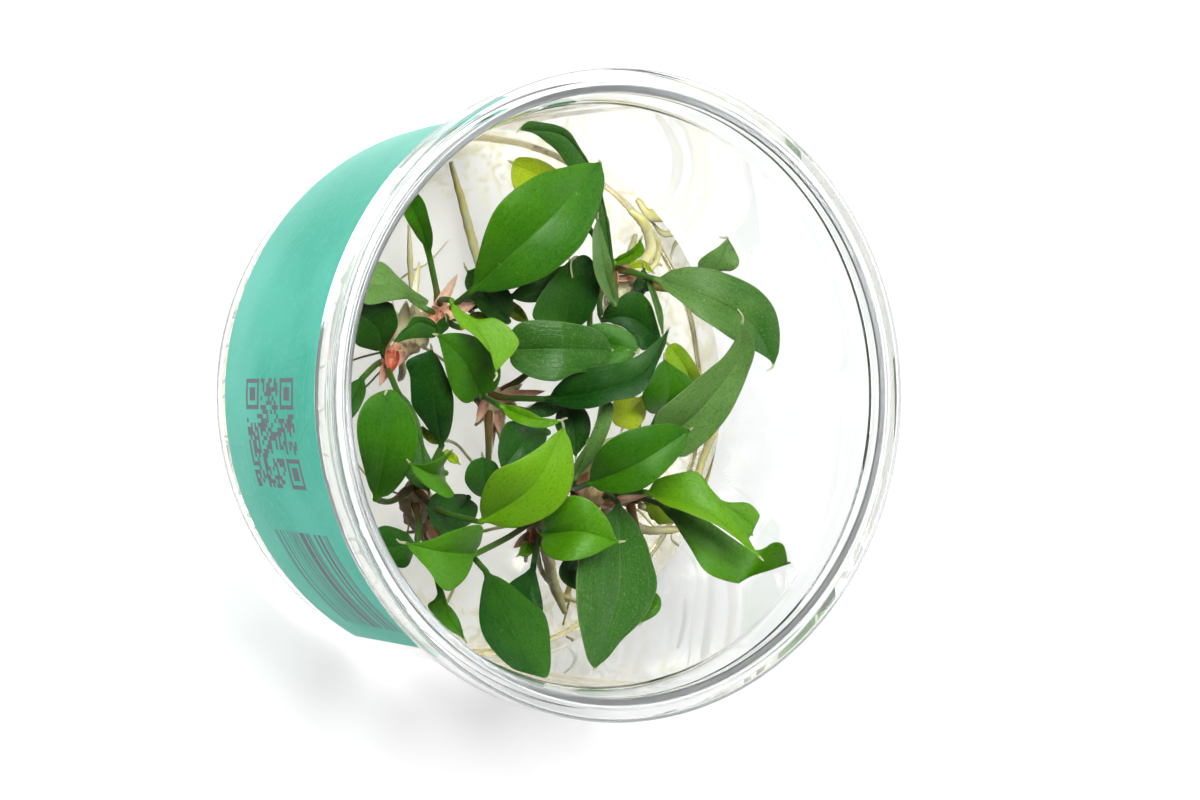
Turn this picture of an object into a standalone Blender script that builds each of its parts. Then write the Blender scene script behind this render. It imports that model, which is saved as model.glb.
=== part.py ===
"""A closed tissue culture tub: a round clear tub with its press-on lid, a label strip, a layer of clear gel,
and the clump of Piptospatha that grows in it. The tub stands on its base. The label faces -Y."""

import math

import bmesh
import bpy
from mathutils import Vector

# Driving dimensions, in metres.
MM = 0.001
GAP = 0.3 * MM
ROUND_STEPS = 40

TUB_HEIGHT = 58.2 * MM
TUB_FLOOR = 1.8 * MM
TUB_WALL = 1.2 * MM
BASE_FLAT_RADIUS = 41.0 * MM
BASE_CORNER = 4.2 * MM
SHOULDER_HEIGHT = 52.0 * MM
SHOULDER_RISE = 1.6 * MM
SHOULDER_RADIUS = 46.35 * MM
MOUTH_RADIUS = 47.9 * MM

LID_UNDERSIDE = TUB_HEIGHT + GAP
LID_PANEL = 1.0 * MM
LID_RIM_RISE = 0.7 * MM
LID_RADIUS = 50.0 * MM
LID_SKIRT_BOTTOM = 53.8 * MM
LID_SKIRT_INNER = 48.4 * MM
LID_RECESS_RADIUS = 47.9 * MM

LABEL_BOTTOM = 8.2 * MM
LABEL_TOP = 45.4 * MM
LABEL_THICKNESS = 0.3 * MM
LABEL_START = math.radians(-88)
LABEL_END = math.radians(60)
LABEL_STEPS = 20

GEL_SURFACE = 13.0 * MM
GEL_CORNER = 3.0 * MM

ROOT_REACH = 40.5 * MM
SHEATH_RADII = (0.9 * MM, 1.1 * MM, 0.7 * MM, 0.2 * MM)
# Thickness from one end to the other, as shares of the greatest.
CROWN_PROFILE = (0.62, 0.95, 1.0, 0.9, 0.55)
ROOT_PROFILE = (1.0, 1.0, 0.95, 0.8, 0.6)

PETIOLE_RADIUS = 0.6 * MM
BLADE_HALF_THICKNESS = 0.28 * MM
EDGE_CLEARANCE = 0.5 * MM

# The line of sight that leaf positions are given along. The eye looks at the lid's centre from the
# label's side. Points of the picture are pixels of a frame 1200 wide and 800 high.
SIGHT_TILT = math.radians(29.75)
SIGHT_DISTANCE = 450.0 * MM
PIXELS_PER_UNIT_SLOPE = 2944.0
SEEN_CENTRE_X = 632.3
SEEN_CENTRE_Y = 395.4
SIGHT_TARGET = Vector((0, 0, 60.1 * MM))
TO_EYE = Vector((0, -math.sin(SIGHT_TILT), math.cos(SIGHT_TILT)))
PICTURE_RIGHT = Vector((0, math.cos(SIGHT_TILT), math.sin(SIGHT_TILT)))
PICTURE_UP = Vector((-1, 0, 0))

# Each tone is a colour and a roughness.
TONES = {
    "dark": ((0.018, 0.075, 0.024), 0.35),
    "mid": ((0.045, 0.190, 0.020), 0.38),
    "light": ((0.120, 0.340, 0.040), 0.42),
    "yellow": ((0.400, 0.520, 0.030), 0.45),
    "grey": ((0.130, 0.230, 0.130), 0.40),
}


def seen(photo_x, photo_y, height):
    """The point at a height in mm above the table, on the line of sight through a point of the picture."""
    eye = SIGHT_TARGET + TO_EYE * SIGHT_DISTANCE
    ray = (
        PICTURE_RIGHT * ((photo_x - SEEN_CENTRE_X) / PIXELS_PER_UNIT_SLOPE)
        + PICTURE_UP * ((SEEN_CENTRE_Y - photo_y) / PIXELS_PER_UNIT_SLOPE)
        - TO_EYE
    )
    return eye + ray * ((height * MM - eye.z) / ray.z)


# Crowns: the short stems that the leaves grow from. Each has points of its body, as picture points with a
# height in mm, its greatest radius in mm, its roots' ends with each root's radius in mm, and its sheaths' tips.
CROWNS = {
    "a": dict(
        body=((440, 314, 28), (412, 335, 24), (386, 362, 22)),
        girth=2.3,
        roots=(((412, 300, 7), 0.75), ((375, 340, 6), 0.6)),
        sheaths=((461, 276, 31), (402, 272, 26), (362, 374, 26)),
    ),
    "b": dict(
        body=((478, 392, 27), (492, 400, 25), (510, 408, 22)),
        girth=2.2,
        roots=(((500, 440, 6), 0.7), ((470, 425, 6), 0.6)),
        sheaths=((524, 394, 29),),
    ),
    "c": dict(
        body=((574, 488, 28), (598, 494, 27), (628, 499, 26)),
        girth=2.0,
        roots=(((560, 600, 7), 0.9), ((620, 520, 6), 0.7)),
        sheaths=((596, 458, 36), (652, 494, 33)),
    ),
    "d": dict(
        body=((412, 488, 25), (418, 510, 21), (434, 540, 17)),
        girth=2.6,
        roots=(((440, 560, 6), 0.8), ((395, 500, 6), 0.7)),
        sheaths=((398, 470, 29),),
    ),
    "e": dict(
        body=((541, 512, 31), (538, 528, 27), (534, 546, 22)),
        girth=1.8,
        roots=(((520, 560, 6), 0.6), ((552, 555, 6), 0.7)),
        sheaths=((510, 543, 28), (560, 520, 33)),
    ),
    "f": dict(
        body=((612, 268, 28), (624, 277, 25), (640, 284, 21)),
        girth=2.0,
        roots=(((650, 215, 7), 0.9), ((600, 290, 6), 0.6)),
        sheaths=((652, 262, 33),),
    ),
}

# Leaves: the crown that each grows from, its tone, the picture points of its midrib from base to tip and
# the heights in mm there, its width in mm, how far it is turned about its midrib and folded along it in
# degrees, and how far along it is widest.
LEAVES = {
    "01": ("a", "mid", ((472, 292), (508, 257), (550, 218), (601, 166)), (38, 44, 47, 46), 14.2, 0, 6, 0.50),
    "02": ("f", "dark", ((604, 246), (598, 190), (566, 138), (517, 131)), (31, 35, 39, 42), 8.0, 25, 15, 0.45),
    "03": ("f", "yellow", ((580, 215), (545, 180), (512, 166)), (29, 31, 32), 6.6, 0, 10, 0.55),
    "04": ("a", "dark", ((423, 252), (419, 222), (404, 190)), (29, 33, 35), 5.6, 20, 15, 0.45),
    "05": ("a", "grey", ((422, 302), (392, 288), (352, 284)), (33, 36, 36), 6.4, -25, 10, 0.40),
    "06": ("a", "dark", ((392, 345), (376, 328), (356, 312)), (27, 30, 32), 7.0, 0, 8, 0.45),
    "07": ("a", "dark", ((434, 326), (417, 322), (396, 341)), (34, 37, 38), 3.6, 20, 10, 0.45),
    "08": ("a", "yellow", ((463, 321), (483, 338), (495, 377)), (39, 43, 46), 8.4, 35, 28, 0.55),
    "09": ("b", "dark", ((476, 388), (464, 362), (439, 336)), (32, 36, 39), 7.4, 0, 10, 0.50),
    "10": ("d", "dark", ((441, 446), (434, 404), (424, 353)), (27, 32, 35), 7.2, 5, 10, 0.50),
    "11": ("d", "mid", ((374, 500), (384, 448), (386, 393)), (33, 40, 42), 9.6, 0, 8, 0.52),
    "13": ("a", "grey", ((400, 396), (416, 430), (435, 466)), (32, 34, 35), 5.6, -15, 10, 0.50),
    "14": ("d", "light", ((450, 476), (432, 474), (409, 463)), (34, 40, 43), 7.4, 10, 20, 0.30),
    "15": ("a", "dark", ((508, 321), (488, 299), (468, 274)), (31, 34, 35), 6.4, 0, 10, 0.45),
    "16": ("b", "dark", ((564, 324), (570, 292), (580, 257)), (34, 38, 39), 9.2, -10, 12, 0.45),
    "17": ("b", "dark", ((508, 347), (560, 349), (612, 352)), (38, 43, 43), 9.4, 0, 6, 0.50),
    "18": ("f", "light", ((613, 304), (602, 262), (597, 219)), (37, 42, 45), 4.6, -30, 35, 0.45),
    "19": ("f", "dark", ((602, 318), (630, 318), (659, 341)), (28, 30, 31), 7.8, -8, 12, 0.45),
    "20": ("f", "mid", ((590, 342), (616, 345), (638, 353)), (33, 36, 38), 6.8, 10, 10, 0.45),
    "21": ("b", "dark", ((544, 398), (600, 391), (644, 372), (667, 335)), (37, 44, 46, 47), 6.6, 20, 18, 0.45),
    "22": ("c", "mid", ((664, 424), (668, 394), (668, 364)), (33, 37, 38), 8.0, 0, 8, 0.45),
    "23": ("c", "yellow", ((692, 390), (684, 366), (669, 346)), (28, 31, 32), 4.6, 0, 12, 0.50),
    "24": ("c", "mid", ((664, 440), (700, 409), (735, 362), (740, 312)), (36, 42, 46, 49), 8.2, 0, 12, 0.45),
    "25": ("f", "mid", ((655, 278), (702, 296), (750, 324), (770, 369)), (35, 40, 42, 42), 8.8, 5, 12, 0.56),
    "26": ("f", "grey", ((702, 288), (720, 262), (731, 236)), (26, 29, 30), 6.0, 0, 15, 0.55),
    "27": ("f", "light", ((612, 264), (632, 253), (641, 237)), (31, 34, 36), 2.6, 0, 20, 0.50),
    "28": ("f", "dark", ((642, 294), (644, 283), (643, 270)), (26, 28, 29), 3.8, 0, 10, 0.40),
    "30": ("c", "mid", ((591, 486), (636, 464), (691, 429)), (38, 46, 49), 9.6, 0, 8, 0.48),
    "31": ("d", "light", ((481, 522), (532, 486), (563, 427)), (38, 46, 49), 10.6, 0, 8, 0.48),
    "32": ("b", "dark", ((550, 428), (524, 442), (499, 468)), (36, 38, 38), 7.0, 0, 10, 0.50),
    "33": ("b", "light", ((502, 408), (530, 418), (565, 419)), (37, 41, 44), 2.8, 0, 25, 0.40),
    "34": ("c", "dark", ((562, 402), (573, 426), (575, 456)), (31, 34, 34), 5.8, 0, 12, 0.45),
    "35": ("c", "grey", ((574, 466), (590, 439), (606, 403)), (34, 39, 41), 3.0, 0, 35, 0.50),
    "36": ("c", "yellow", ((640, 400), (628, 414), (614, 426)), (31, 32, 33), 5.2, 0, 8, 0.50),
    "37": ("c", "light", ((646, 492), (700, 508), (761, 558)), (36, 43, 46), 7.6, 38, 30, 0.42),
    "38": ("c", "mid", ((662, 510), (706, 550), (756, 572), (787, 566)), (32, 37, 39, 41), 7.6, 0, 10, 0.50),
    "39": ("c", "mid", ((716, 500), (745, 520), (769, 545)), (31, 33, 34), 6.2, 0, 12, 0.45),
    "40": ("e", "light", ((542, 532), (580, 532), (621, 543)), (37, 45, 47), 10.0, 0, 10, 0.42),
    "41": ("c", "dark", ((613, 508), (619, 550), (616, 600), (594, 667)), (33, 39, 43, 47), 12.6, 0, 8, 0.50),
    "42": ("e", "light", ((478, 548), (442, 552), (400, 542)), (37, 43, 45), 10.6, 0, 14, 0.30),
    "43": ("d", "dark", ((487, 572), (508, 624), (541, 679)), (36, 44, 52), 8.8, 0, 8, 0.50),
    "44": ("e", "dark", ((534, 565), (529, 592), (536, 624)), (33, 36, 38), 5.4, 0, 12, 0.40),
    "45": ("d", "mid", ((440, 591), (447, 614), (458, 642)), (29, 32, 35), 4.2, 0, 10, 0.50),
    "46": ("d", "dark", ((414, 541), (400, 546), (380, 550)), (29, 32, 33), 6.2, 0, 10, 0.45),
    "47": ("d", "dark", ((466, 501), (454, 516), (440, 538)), (26, 29, 30), 7.2, 0, 10, 0.50),
    "48": ("b", "grey", ((484, 500), (484, 480), (480, 459)), (31, 34, 36), 5.0, 0, 10, 0.50),
    "50": ("c", "yellow", ((640, 514), (656, 521), (678, 530)), (25, 26, 26), 2.6, 0, 10, 0.45),
}
# Places along a blade where it has a ring of points, from its base to its tip.
BLADE_STATIONS = (0.0, 0.12, 0.30, 0.50, 0.70, 0.88, 1.0)
PETIOLE_STATIONS = (0.0, 0.5, 0.86)


def clear_scene():
    for obj in list(bpy.data.objects):
        bpy.data.objects.remove(obj, do_unlink=True)


def material(name, colour, roughness, alpha=1.0, transmission=0.0):
    made = bpy.data.materials.new(name)
    made.use_nodes = True
    shader = made.node_tree.nodes["Principled BSDF"]
    shader.inputs["Base Color"].default_value = (*colour, 1)
    shader.inputs["Roughness"].default_value = roughness
    shader.inputs["Metallic"].default_value = 0.0
    shader.inputs["Transmission Weight"].default_value = transmission
    shader.inputs["Alpha"].default_value = alpha
    made.diffuse_color = (*colour, alpha)
    return made


def finished(name, bm, look):
    """Turns a bmesh into a named object with smooth shading and its own material."""
    mesh = bpy.data.meshes.new(name)
    bm.to_mesh(mesh)
    bm.free()
    mesh.shade_smooth()
    mesh.set_sharp_from_angle(angle=math.radians(35))
    mesh.materials.append(look)
    obj = bpy.data.objects.new(name, mesh)
    bpy.context.scene.collection.objects.link(obj)
    return obj


def turned(name, outline, look, steps=ROUND_STEPS):
    """A solid of revolution about Z. The outline's first and last points are on the axis."""
    bm = bmesh.new()
    foot = bm.verts.new((0, 0, outline[0][1]))
    head = bm.verts.new((0, 0, outline[-1][1]))
    rings = []
    for radius, height in outline[1:-1]:
        ring = []
        for step in range(steps):
            angle = 2 * math.pi * step / steps
            ring.append(bm.verts.new((radius * math.cos(angle), radius * math.sin(angle), height)))
        rings.append(ring)
    for step in range(steps):
        after = (step + 1) % steps
        bm.faces.new((foot, rings[0][after], rings[0][step]))
        bm.faces.new((head, rings[-1][step], rings[-1][after]))
        for low, high in zip(rings, rings[1:]):
            bm.faces.new((low[step], low[after], high[after], high[step]))
    return finished(name, bm, look)


def arc(centre, radius, start, end, steps):
    """Points of a round corner, as (radius, height) pairs, from one angle to another in degrees."""
    points = []
    for step in range(steps + 1):
        angle = math.radians(start + (end - start) * step / steps)
        points.append((centre[0] + radius * math.cos(angle), centre[1] + radius * math.sin(angle)))
    return points


def wall_radius(height):
    """The tub's outer radius on its tapered wall, below the shoulder."""
    low_radius = BASE_FLAT_RADIUS + BASE_CORNER
    share = (height - BASE_CORNER) / (SHOULDER_HEIGHT - BASE_CORNER)
    return low_radius + (SHOULDER_RADIUS - low_radius) * share


def make_tub():
    inner_mouth = MOUTH_RADIUS - TUB_WALL
    step_top = SHOULDER_HEIGHT + SHOULDER_RISE
    outline = [(0, 0)]
    outline += arc((BASE_FLAT_RADIUS, BASE_CORNER), BASE_CORNER, -90, 0, 3)
    outline += [
        (SHOULDER_RADIUS, SHOULDER_HEIGHT),
        (MOUTH_RADIUS - 0.2 * MM, step_top),
        (MOUTH_RADIUS, TUB_HEIGHT),
        (inner_mouth, TUB_HEIGHT),
        (inner_mouth - 0.2 * MM, step_top + 0.6 * MM),
        (SHOULDER_RADIUS - TUB_WALL, SHOULDER_HEIGHT + 0.6 * MM),
    ]
    inner_corner = BASE_CORNER + TUB_FLOOR - TUB_WALL
    corner_radius = wall_radius(inner_corner) - TUB_WALL
    outline += arc((corner_radius - GEL_CORNER, TUB_FLOOR + GEL_CORNER), GEL_CORNER, 0, -90, 2)
    outline.append((0, TUB_FLOOR))
    look = material("clear_polystyrene", (0.93, 0.95, 0.95), 0.05, alpha=0.25, transmission=1.0)
    return turned("tub", outline, look)


def make_lid():
    panel_top = LID_UNDERSIDE + LID_PANEL
    rim_top = panel_top + LID_RIM_RISE
    outline = [
        (0, LID_UNDERSIDE),
        (LID_SKIRT_INNER, LID_UNDERSIDE),
        (LID_SKIRT_INNER, LID_SKIRT_BOTTOM),
        (LID_RADIUS - 0.7 * MM, LID_SKIRT_BOTTOM),
        (LID_RADIUS - 0.3 * MM, LID_SKIRT_BOTTOM + 0.4 * MM),
        (LID_RADIUS, rim_top - 0.7 * MM),
        (LID_RADIUS - 0.25 * MM, rim_top - 0.2 * MM),
        (LID_RADIUS - 0.8 * MM, rim_top),
        (LID_RECESS_RADIUS + 0.6 * MM, rim_top),
        (LID_RECESS_RADIUS, panel_top),
        (0, panel_top),
    ]
    look = material("clear_lid_plastic", (0.94, 0.95, 0.96), 0.05, alpha=0.25, transmission=1.0)
    return turned("lid", outline, look)


def make_label():
    """A curved strip round part of the wall, which follows its taper."""
    bm = bmesh.new()
    rings = []
    for step in range(LABEL_STEPS + 1):
        angle = LABEL_START + (LABEL_END - LABEL_START) * step / LABEL_STEPS
        outward = Vector((math.sin(angle), -math.cos(angle), 0))
        ring = []
        for height, thickness in (
            (LABEL_BOTTOM, 0),
            (LABEL_TOP, 0),
            (LABEL_TOP, LABEL_THICKNESS),
            (LABEL_BOTTOM, LABEL_THICKNESS),
        ):
            radius = wall_radius(height) + GAP + thickness
            ring.append(bm.verts.new(outward * radius + Vector((0, 0, height))))
        rings.append(ring)
    skin(bm, rings)
    return finished("label", bm, material("label_film", (0.18, 0.68, 0.56), 0.45))


def skin(bm, rings):
    """Joins rings of equal length into a closed tube with flat ends."""
    count = len(rings[0])
    for near, far in zip(rings, rings[1:]):
        for i in range(count):
            j = (i + 1) % count
            bm.faces.new((near[i], near[j], far[j], far[i]))
    bm.faces.new(list(reversed(rings[0])))
    bm.faces.new(rings[-1])


def smooth_route(points, share):
    """A point on the smooth curve through a list of points, at a share of its length from 0 to 1."""
    spans = len(points) - 1
    place = min(share * spans, spans - 1e-6)
    i = int(place)
    t = place - i
    before = points[i - 1] if i else points[0] * 2 - points[1]
    after = points[i + 2] if i + 2 <= spans else points[-1] * 2 - points[-2]
    here, there = points[i], points[i + 1]
    return 0.5 * (
        2 * here
        + (there - before) * t
        + (2 * before - 5 * here + 4 * there - after) * t**2
        + (3 * here - 3 * there + after - before) * t**3
    )


def heading(route, share):
    """The direction of the smooth curve at a share of its length."""
    return (smooth_route(route, min(share + 0.02, 1)) - smooth_route(route, max(share - 0.02, 0))).normalized()


def tube_rings(bm, route, radii, sides=6):
    """Rings of points round a route, one for each radius."""
    rings = []
    last = len(radii) - 1
    side = (route[1] - route[0]).orthogonal()
    for k, radius in enumerate(radii):
        share = k / last
        here = smooth_route(route, share)
        along = heading(route, share)
        side = (side - along * side.dot(along)).normalized()
        up = along.cross(side)
        ring = []
        for i in range(sides):
            angle = 2 * math.pi * i / sides
            ring.append(bm.verts.new(here + (side * math.cos(angle) + up * math.sin(angle)) * radius))
        rings.append(ring)
    return rings


def tube(name, route, radii, look, sides=6):
    bm = bmesh.new()
    skin(bm, tube_rings(bm, route, radii, sides))
    return finished(name, bm, look)


def cut_or_join(target, helper, operation):
    """Applies a Boolean with a helper object, which stays out of the model."""
    helper.hide_render = True
    helper.display_type = "WIRE"
    modifier = target.modifiers.new(f"{operation.lower()}_{helper.name}", "BOOLEAN")
    modifier.operation = operation
    modifier.solver = "EXACT"
    modifier.object = helper


def crown_body(crown):
    return [seen(*point) for point in CROWNS[crown]["body"]]


def body_radius(crown, share):
    """The crown's radius at a share of its length."""
    place = share * (len(CROWN_PROFILE) - 1)
    i = min(int(place), len(CROWN_PROFILE) - 2)
    taper = CROWN_PROFILE[i] + (CROWN_PROFILE[i + 1] - CROWN_PROFILE[i]) * (place - i)
    return taper * CROWNS[crown]["girth"] * MM


def nearest_share(route, target):
    """The place along a route, among a few, that is nearest to a target."""
    shares = [k / 8 for k in range(9)]
    return min(shares, key=lambda share: (smooth_route(route, share) - target).length)


def root_route(crown, end):
    """A root's route from inside the crown, down into the gel, to its end."""
    body = crown_body(crown)
    finish = seen(*end)
    flat = Vector((finish.x, finish.y, 0))
    if flat.length > ROOT_REACH:
        flat = flat.normalized() * ROOT_REACH
    finish = Vector((flat.x, flat.y, finish.z))
    start = smooth_route(body, min(max(nearest_share(body, finish), 0.25), 0.75))
    entry = start.lerp(finish, 0.4)
    entry.z = GEL_SURFACE + 0.35 * (start.z - GEL_SURFACE)
    return [start, entry, finish]


def make_crowns(gel):
    root_look = material("root", (0.72, 0.60, 0.30), 0.5)
    for crown, facts in CROWNS.items():
        look = material(f"crown_{crown}_stem", (0.46, 0.20, 0.11), 0.55)
        body = crown_body(crown)
        last = len(CROWN_PROFILE) - 1
        radii = [body_radius(crown, k / last) for k in range(last + 1)]
        stem = tube(f"crown_{crown}", body, radii, look, sides=8)
        for i, place in enumerate(facts["sheaths"]):
            tip = seen(*place)
            foot = smooth_route(body, min(max(nearest_share(body, tip), 0.15), 0.85))
            sheath = tube(f"crown_{crown}_sheath_{i}", [foot, foot.lerp(tip, 0.5), tip], SHEATH_RADII, look)
            cut_or_join(stem, sheath, "UNION")
        for i, (end, thickness) in enumerate(facts["roots"]):
            route = root_route(crown, end)
            radius = thickness * MM
            root = tube(f"crown_{crown}_root_{i}", route, [radius * s for s in ROOT_PROFILE], look)
            cut_or_join(stem, root, "UNION")
            beyond = route[:2] + [route[2] + heading(route, 1) * GAP * 2]
            room = tube(f"gel_pocket_{crown}_{i}", beyond, [radius * s + GAP for s in ROOT_PROFILE], root_look)
            cut_or_join(gel, room, "DIFFERENCE")


def make_gel():
    """The layer of gel, a little clear of the tub."""
    corner_radius = wall_radius(BASE_CORNER) - TUB_WALL
    top_radius = wall_radius(GEL_SURFACE) - TUB_WALL - GAP
    outline = [(0, TUB_FLOOR + GAP)]
    outline.append((corner_radius - GEL_CORNER - GAP, TUB_FLOOR + GAP))
    outline.append((corner_radius - GAP * 3, TUB_FLOOR + GEL_CORNER + GAP))
    outline.append((top_radius, GEL_SURFACE))
    outline.append((0, GEL_SURFACE))
    look = material("clear_gel", (0.93, 0.90, 0.75), 0.08, alpha=0.5, transmission=0.9)
    return turned("gel", outline, look)


def kept_inside(point):
    """Moves a point off the tub's wall, the lid and the gel, where a leaf presses against them."""
    height = min(max(point.z, GEL_SURFACE + EDGE_CLEARANCE), LID_UNDERSIDE - EDGE_CLEARANCE)
    limit = wall_radius(min(height, SHOULDER_HEIGHT)) - TUB_WALL - EDGE_CLEARANCE
    flat = Vector((point.x, point.y, 0))
    if flat.length > limit:
        flat = flat.normalized() * limit
    return Vector((flat.x, flat.y, height))


def blade_share(place, widest):
    """The blade's half width at a place along it, as a share of the widest half width."""
    if place < widest:
        return math.sin(math.pi / 2 * place / widest) ** 0.72
    return math.cos(math.pi / 2 * (place - widest) / (1 - widest)) ** 0.85


def make_leaf(number, facts):
    crown, tone, midrib, heights, width, turn, fold, widest = facts
    turn = math.radians(turn)
    fold = math.radians(fold)
    spine = [seen(x, y, z) for (x, y), z in zip(midrib, heights)]
    colour, roughness = TONES[tone]
    base = spine[0]
    body = crown_body(crown)
    share = nearest_share(body, base)
    hold = smooth_route(body, share)
    start = hold + (base - hold).normalized() * (body_radius(crown, share) + GAP + PETIOLE_RADIUS)
    reach = (base - start).length
    petiole = [start, start.lerp(base, 0.5) - heading(spine, 0) * reach * 0.12, base]
    rings = []
    for place in PETIOLE_STATIONS:
        here = smooth_route(petiole, place)
        along = heading(petiole, place)
        across, out = blade_axes(along, turn)
        flat = 1 + 0.6 * place
        ring = []
        for angle in (180, 120, 90, 60, 0, 270):
            a = math.radians(angle)
            ring.append(here + across * (math.cos(a) * PETIOLE_RADIUS) + out * (math.sin(a) * PETIOLE_RADIUS / flat))
        rings.append(ring)
    for place in BLADE_STATIONS:
        here = smooth_route(spine, place)
        along = heading(spine, place)
        across, out = blade_axes(along, turn)
        half = max(width / 2 * MM * blade_share(place, widest), PETIOLE_RADIUS if place < 0.5 else 0.25 * MM)
        thick = BLADE_HALF_THICKNESS * (1 if place < 0.8 else 0.8)
        right = across * math.cos(fold) + out * math.sin(fold)
        left = across * -math.cos(fold) + out * math.sin(fold)
        rings.append(
            [
                here + left * half,
                here + left * (half * 0.5) + out * thick,
                here + out * thick,
                here + right * (half * 0.5) + out * thick,
                here + right * half,
                here - out * thick,
            ]
        )
    bm = bmesh.new()
    made = []
    for ring in rings:
        made.append([bm.verts.new(kept_inside(point)) for point in ring])
    skin(bm, made)
    return finished(f"leaf_{number}", bm, material(f"leaf_{number}_{tone}", colour, roughness))


def blade_axes(along, turn):
    """The directions across a blade and out of its upper face, turned about the midrib."""
    across = along.cross(TO_EYE).normalized()
    out = across.cross(along).normalized()
    return (
        across * math.cos(turn) + out * math.sin(turn),
        out * math.cos(turn) - across * math.sin(turn),
    )


clear_scene()
make_tub()
make_lid()
make_label()
make_crowns(make_gel())
for leaf_number, leaf_facts in LEAVES.items():
    make_leaf(leaf_number, leaf_facts)
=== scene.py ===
"""Looks for the closed tissue culture tub: fine clear plastic, label film, gel, roots, crowns and leaves."""

import bisect
import math
import random

import bmesh
import bpy
from mathutils import Matrix, Vector, noise


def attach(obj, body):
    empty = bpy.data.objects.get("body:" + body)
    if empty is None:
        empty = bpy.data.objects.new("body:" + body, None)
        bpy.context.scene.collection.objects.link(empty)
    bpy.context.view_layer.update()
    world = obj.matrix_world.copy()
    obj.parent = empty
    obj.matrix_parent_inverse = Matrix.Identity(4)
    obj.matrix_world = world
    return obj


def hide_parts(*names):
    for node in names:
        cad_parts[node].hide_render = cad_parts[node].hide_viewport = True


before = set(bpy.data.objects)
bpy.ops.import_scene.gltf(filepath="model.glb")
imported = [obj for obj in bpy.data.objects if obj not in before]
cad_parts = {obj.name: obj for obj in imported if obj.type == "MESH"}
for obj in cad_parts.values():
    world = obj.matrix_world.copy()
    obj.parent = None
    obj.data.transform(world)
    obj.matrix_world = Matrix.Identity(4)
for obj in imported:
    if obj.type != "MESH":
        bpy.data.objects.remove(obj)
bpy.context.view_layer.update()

# Sizes, in metres. The outer ones are those of the solids. The shoulder, the mouth and the lid's panel, rim
# and skirt follow the photo more closely than the solids do.
MM = 0.001
GAP = 0.3 * MM
TUB_HEIGHT = 58.9 * MM
TUB_FLOOR = 1.8 * MM
TUB_WALL = 1.2 * MM
TUB_LIP = 0.18 * MM
BASE_FLAT_RADIUS = 41.0 * MM
BASE_CORNER = 4.2 * MM
SHOULDER_HEIGHT = 55.0 * MM
SHOULDER_RISE = 1.6 * MM
SHOULDER_RADIUS = 46.42 * MM
SHOULDER_ROWS = 17
SHOULDER_ROW = 0.4 * MM
SWELL_BELOW = 3.0 * MM
SWELL_ABOVE = 1.4 * MM
WALL_HEIGHTS = tuple(z * MM for z in (12, 20, 28, 36, 42))
RIPPLE_DEPTH = 0.035 * MM
RIPPLE_GRAIN = 55
MOUTH_RADIUS = 47.6 * MM
LID_UNDERSIDE = TUB_HEIGHT + GAP
LID_PANEL = 0.6 * MM
LID_RIM_RISE = 0.4 * MM
LID_LIP = 0.15 * MM
LID_RADIUS = 50.0 * MM
LID_SKIRT_BOTTOM = 53.8 * MM
LID_SKIRT_INNER = 48.2 * MM
LID_RECESS_RADIUS = 47.6 * MM
BEAD_RADIUS = 0.27 * MM
INNER_RING = 30.0 * MM
FLAT_MIDDLE = 20.0 * MM
LABEL_BOTTOM = 8.2 * MM
LABEL_TOP = 45.4 * MM
LABEL_LIFT = 0.12 * MM
LABEL_FILM = 0.22 * MM
LABEL_CREASE = 0.16 * MM
LABEL_GRAIN = 130
LABEL_STEPS = 150
LABEL_ROWS = 30
LABEL_START = math.radians(-88)
LABEL_END = math.radians(60)
LABEL_SKEW = math.radians(2.5)
GEL_SURFACE = 13.0 * MM
GEL_CORNER = 3.0 * MM
GEL_LIFT = 0.06 * MM
GEL_CLIMB = 13.6 * MM
GEL_FLAT_RADIUS = 43.0 * MM
GEL_WAVES = ((90, 0.45), (260, 0.16))
PETIOLE_RADIUS = 0.55 * MM
THIN_END = 0.22 * MM
EDGE_CLEARANCE = 0.45 * MM
ROOT_WALL_CLEARANCE = 1.4 * MM
ROOT_FLOOR_CLEARANCE = 1.2 * MM
ROOT_REACH = 40.5 * MM
ROUND_STEPS = 192
GEL_STEPS = 180
BEAD_SIDES = 12
SHARP_EDGE = 40
WATER_IOR = 1.33
PLASTIC_IOR = 1.50
BEAD_IOR = 1.30

# The line of sight. Picture points are pixels of a frame 1200 wide and 800 high.
FRAME_WIDTH = 1200
FRAME_HEIGHT = 800
SIGHT_TILT = math.radians(29.75)
SIGHT_DISTANCE = 450.0 * MM
PIXELS_PER_UNIT_SLOPE = 2944.0
PIXELS_PER_MM = 6.3
SEEN_CENTRE_X = 632.3
SEEN_CENTRE_Y = 395.4
SIGHT_TARGET = Vector((0, 0, 60.1 * MM))
TO_EYE = Vector((0, -math.sin(SIGHT_TILT), math.cos(SIGHT_TILT)))
PICTURE_RIGHT = Vector((0, math.cos(SIGHT_TILT), math.sin(SIGHT_TILT)))
PICTURE_UP = Vector((-1, 0, 0))
SENSOR = 36.0
BOUNCES = 40


def seen(photo_x, photo_y, height):
    """The point at a height in mm above the table, on the line of sight through a point of the picture."""
    eye = SIGHT_TARGET + TO_EYE * SIGHT_DISTANCE
    ray = (
        PICTURE_RIGHT * ((photo_x - SEEN_CENTRE_X) / PIXELS_PER_UNIT_SLOPE)
        + PICTURE_UP * ((SEEN_CENTRE_Y - photo_y) / PIXELS_PER_UNIT_SLOPE)
        - TO_EYE
    )
    return eye + ray * ((height * MM - eye.z) / ray.z)


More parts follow.
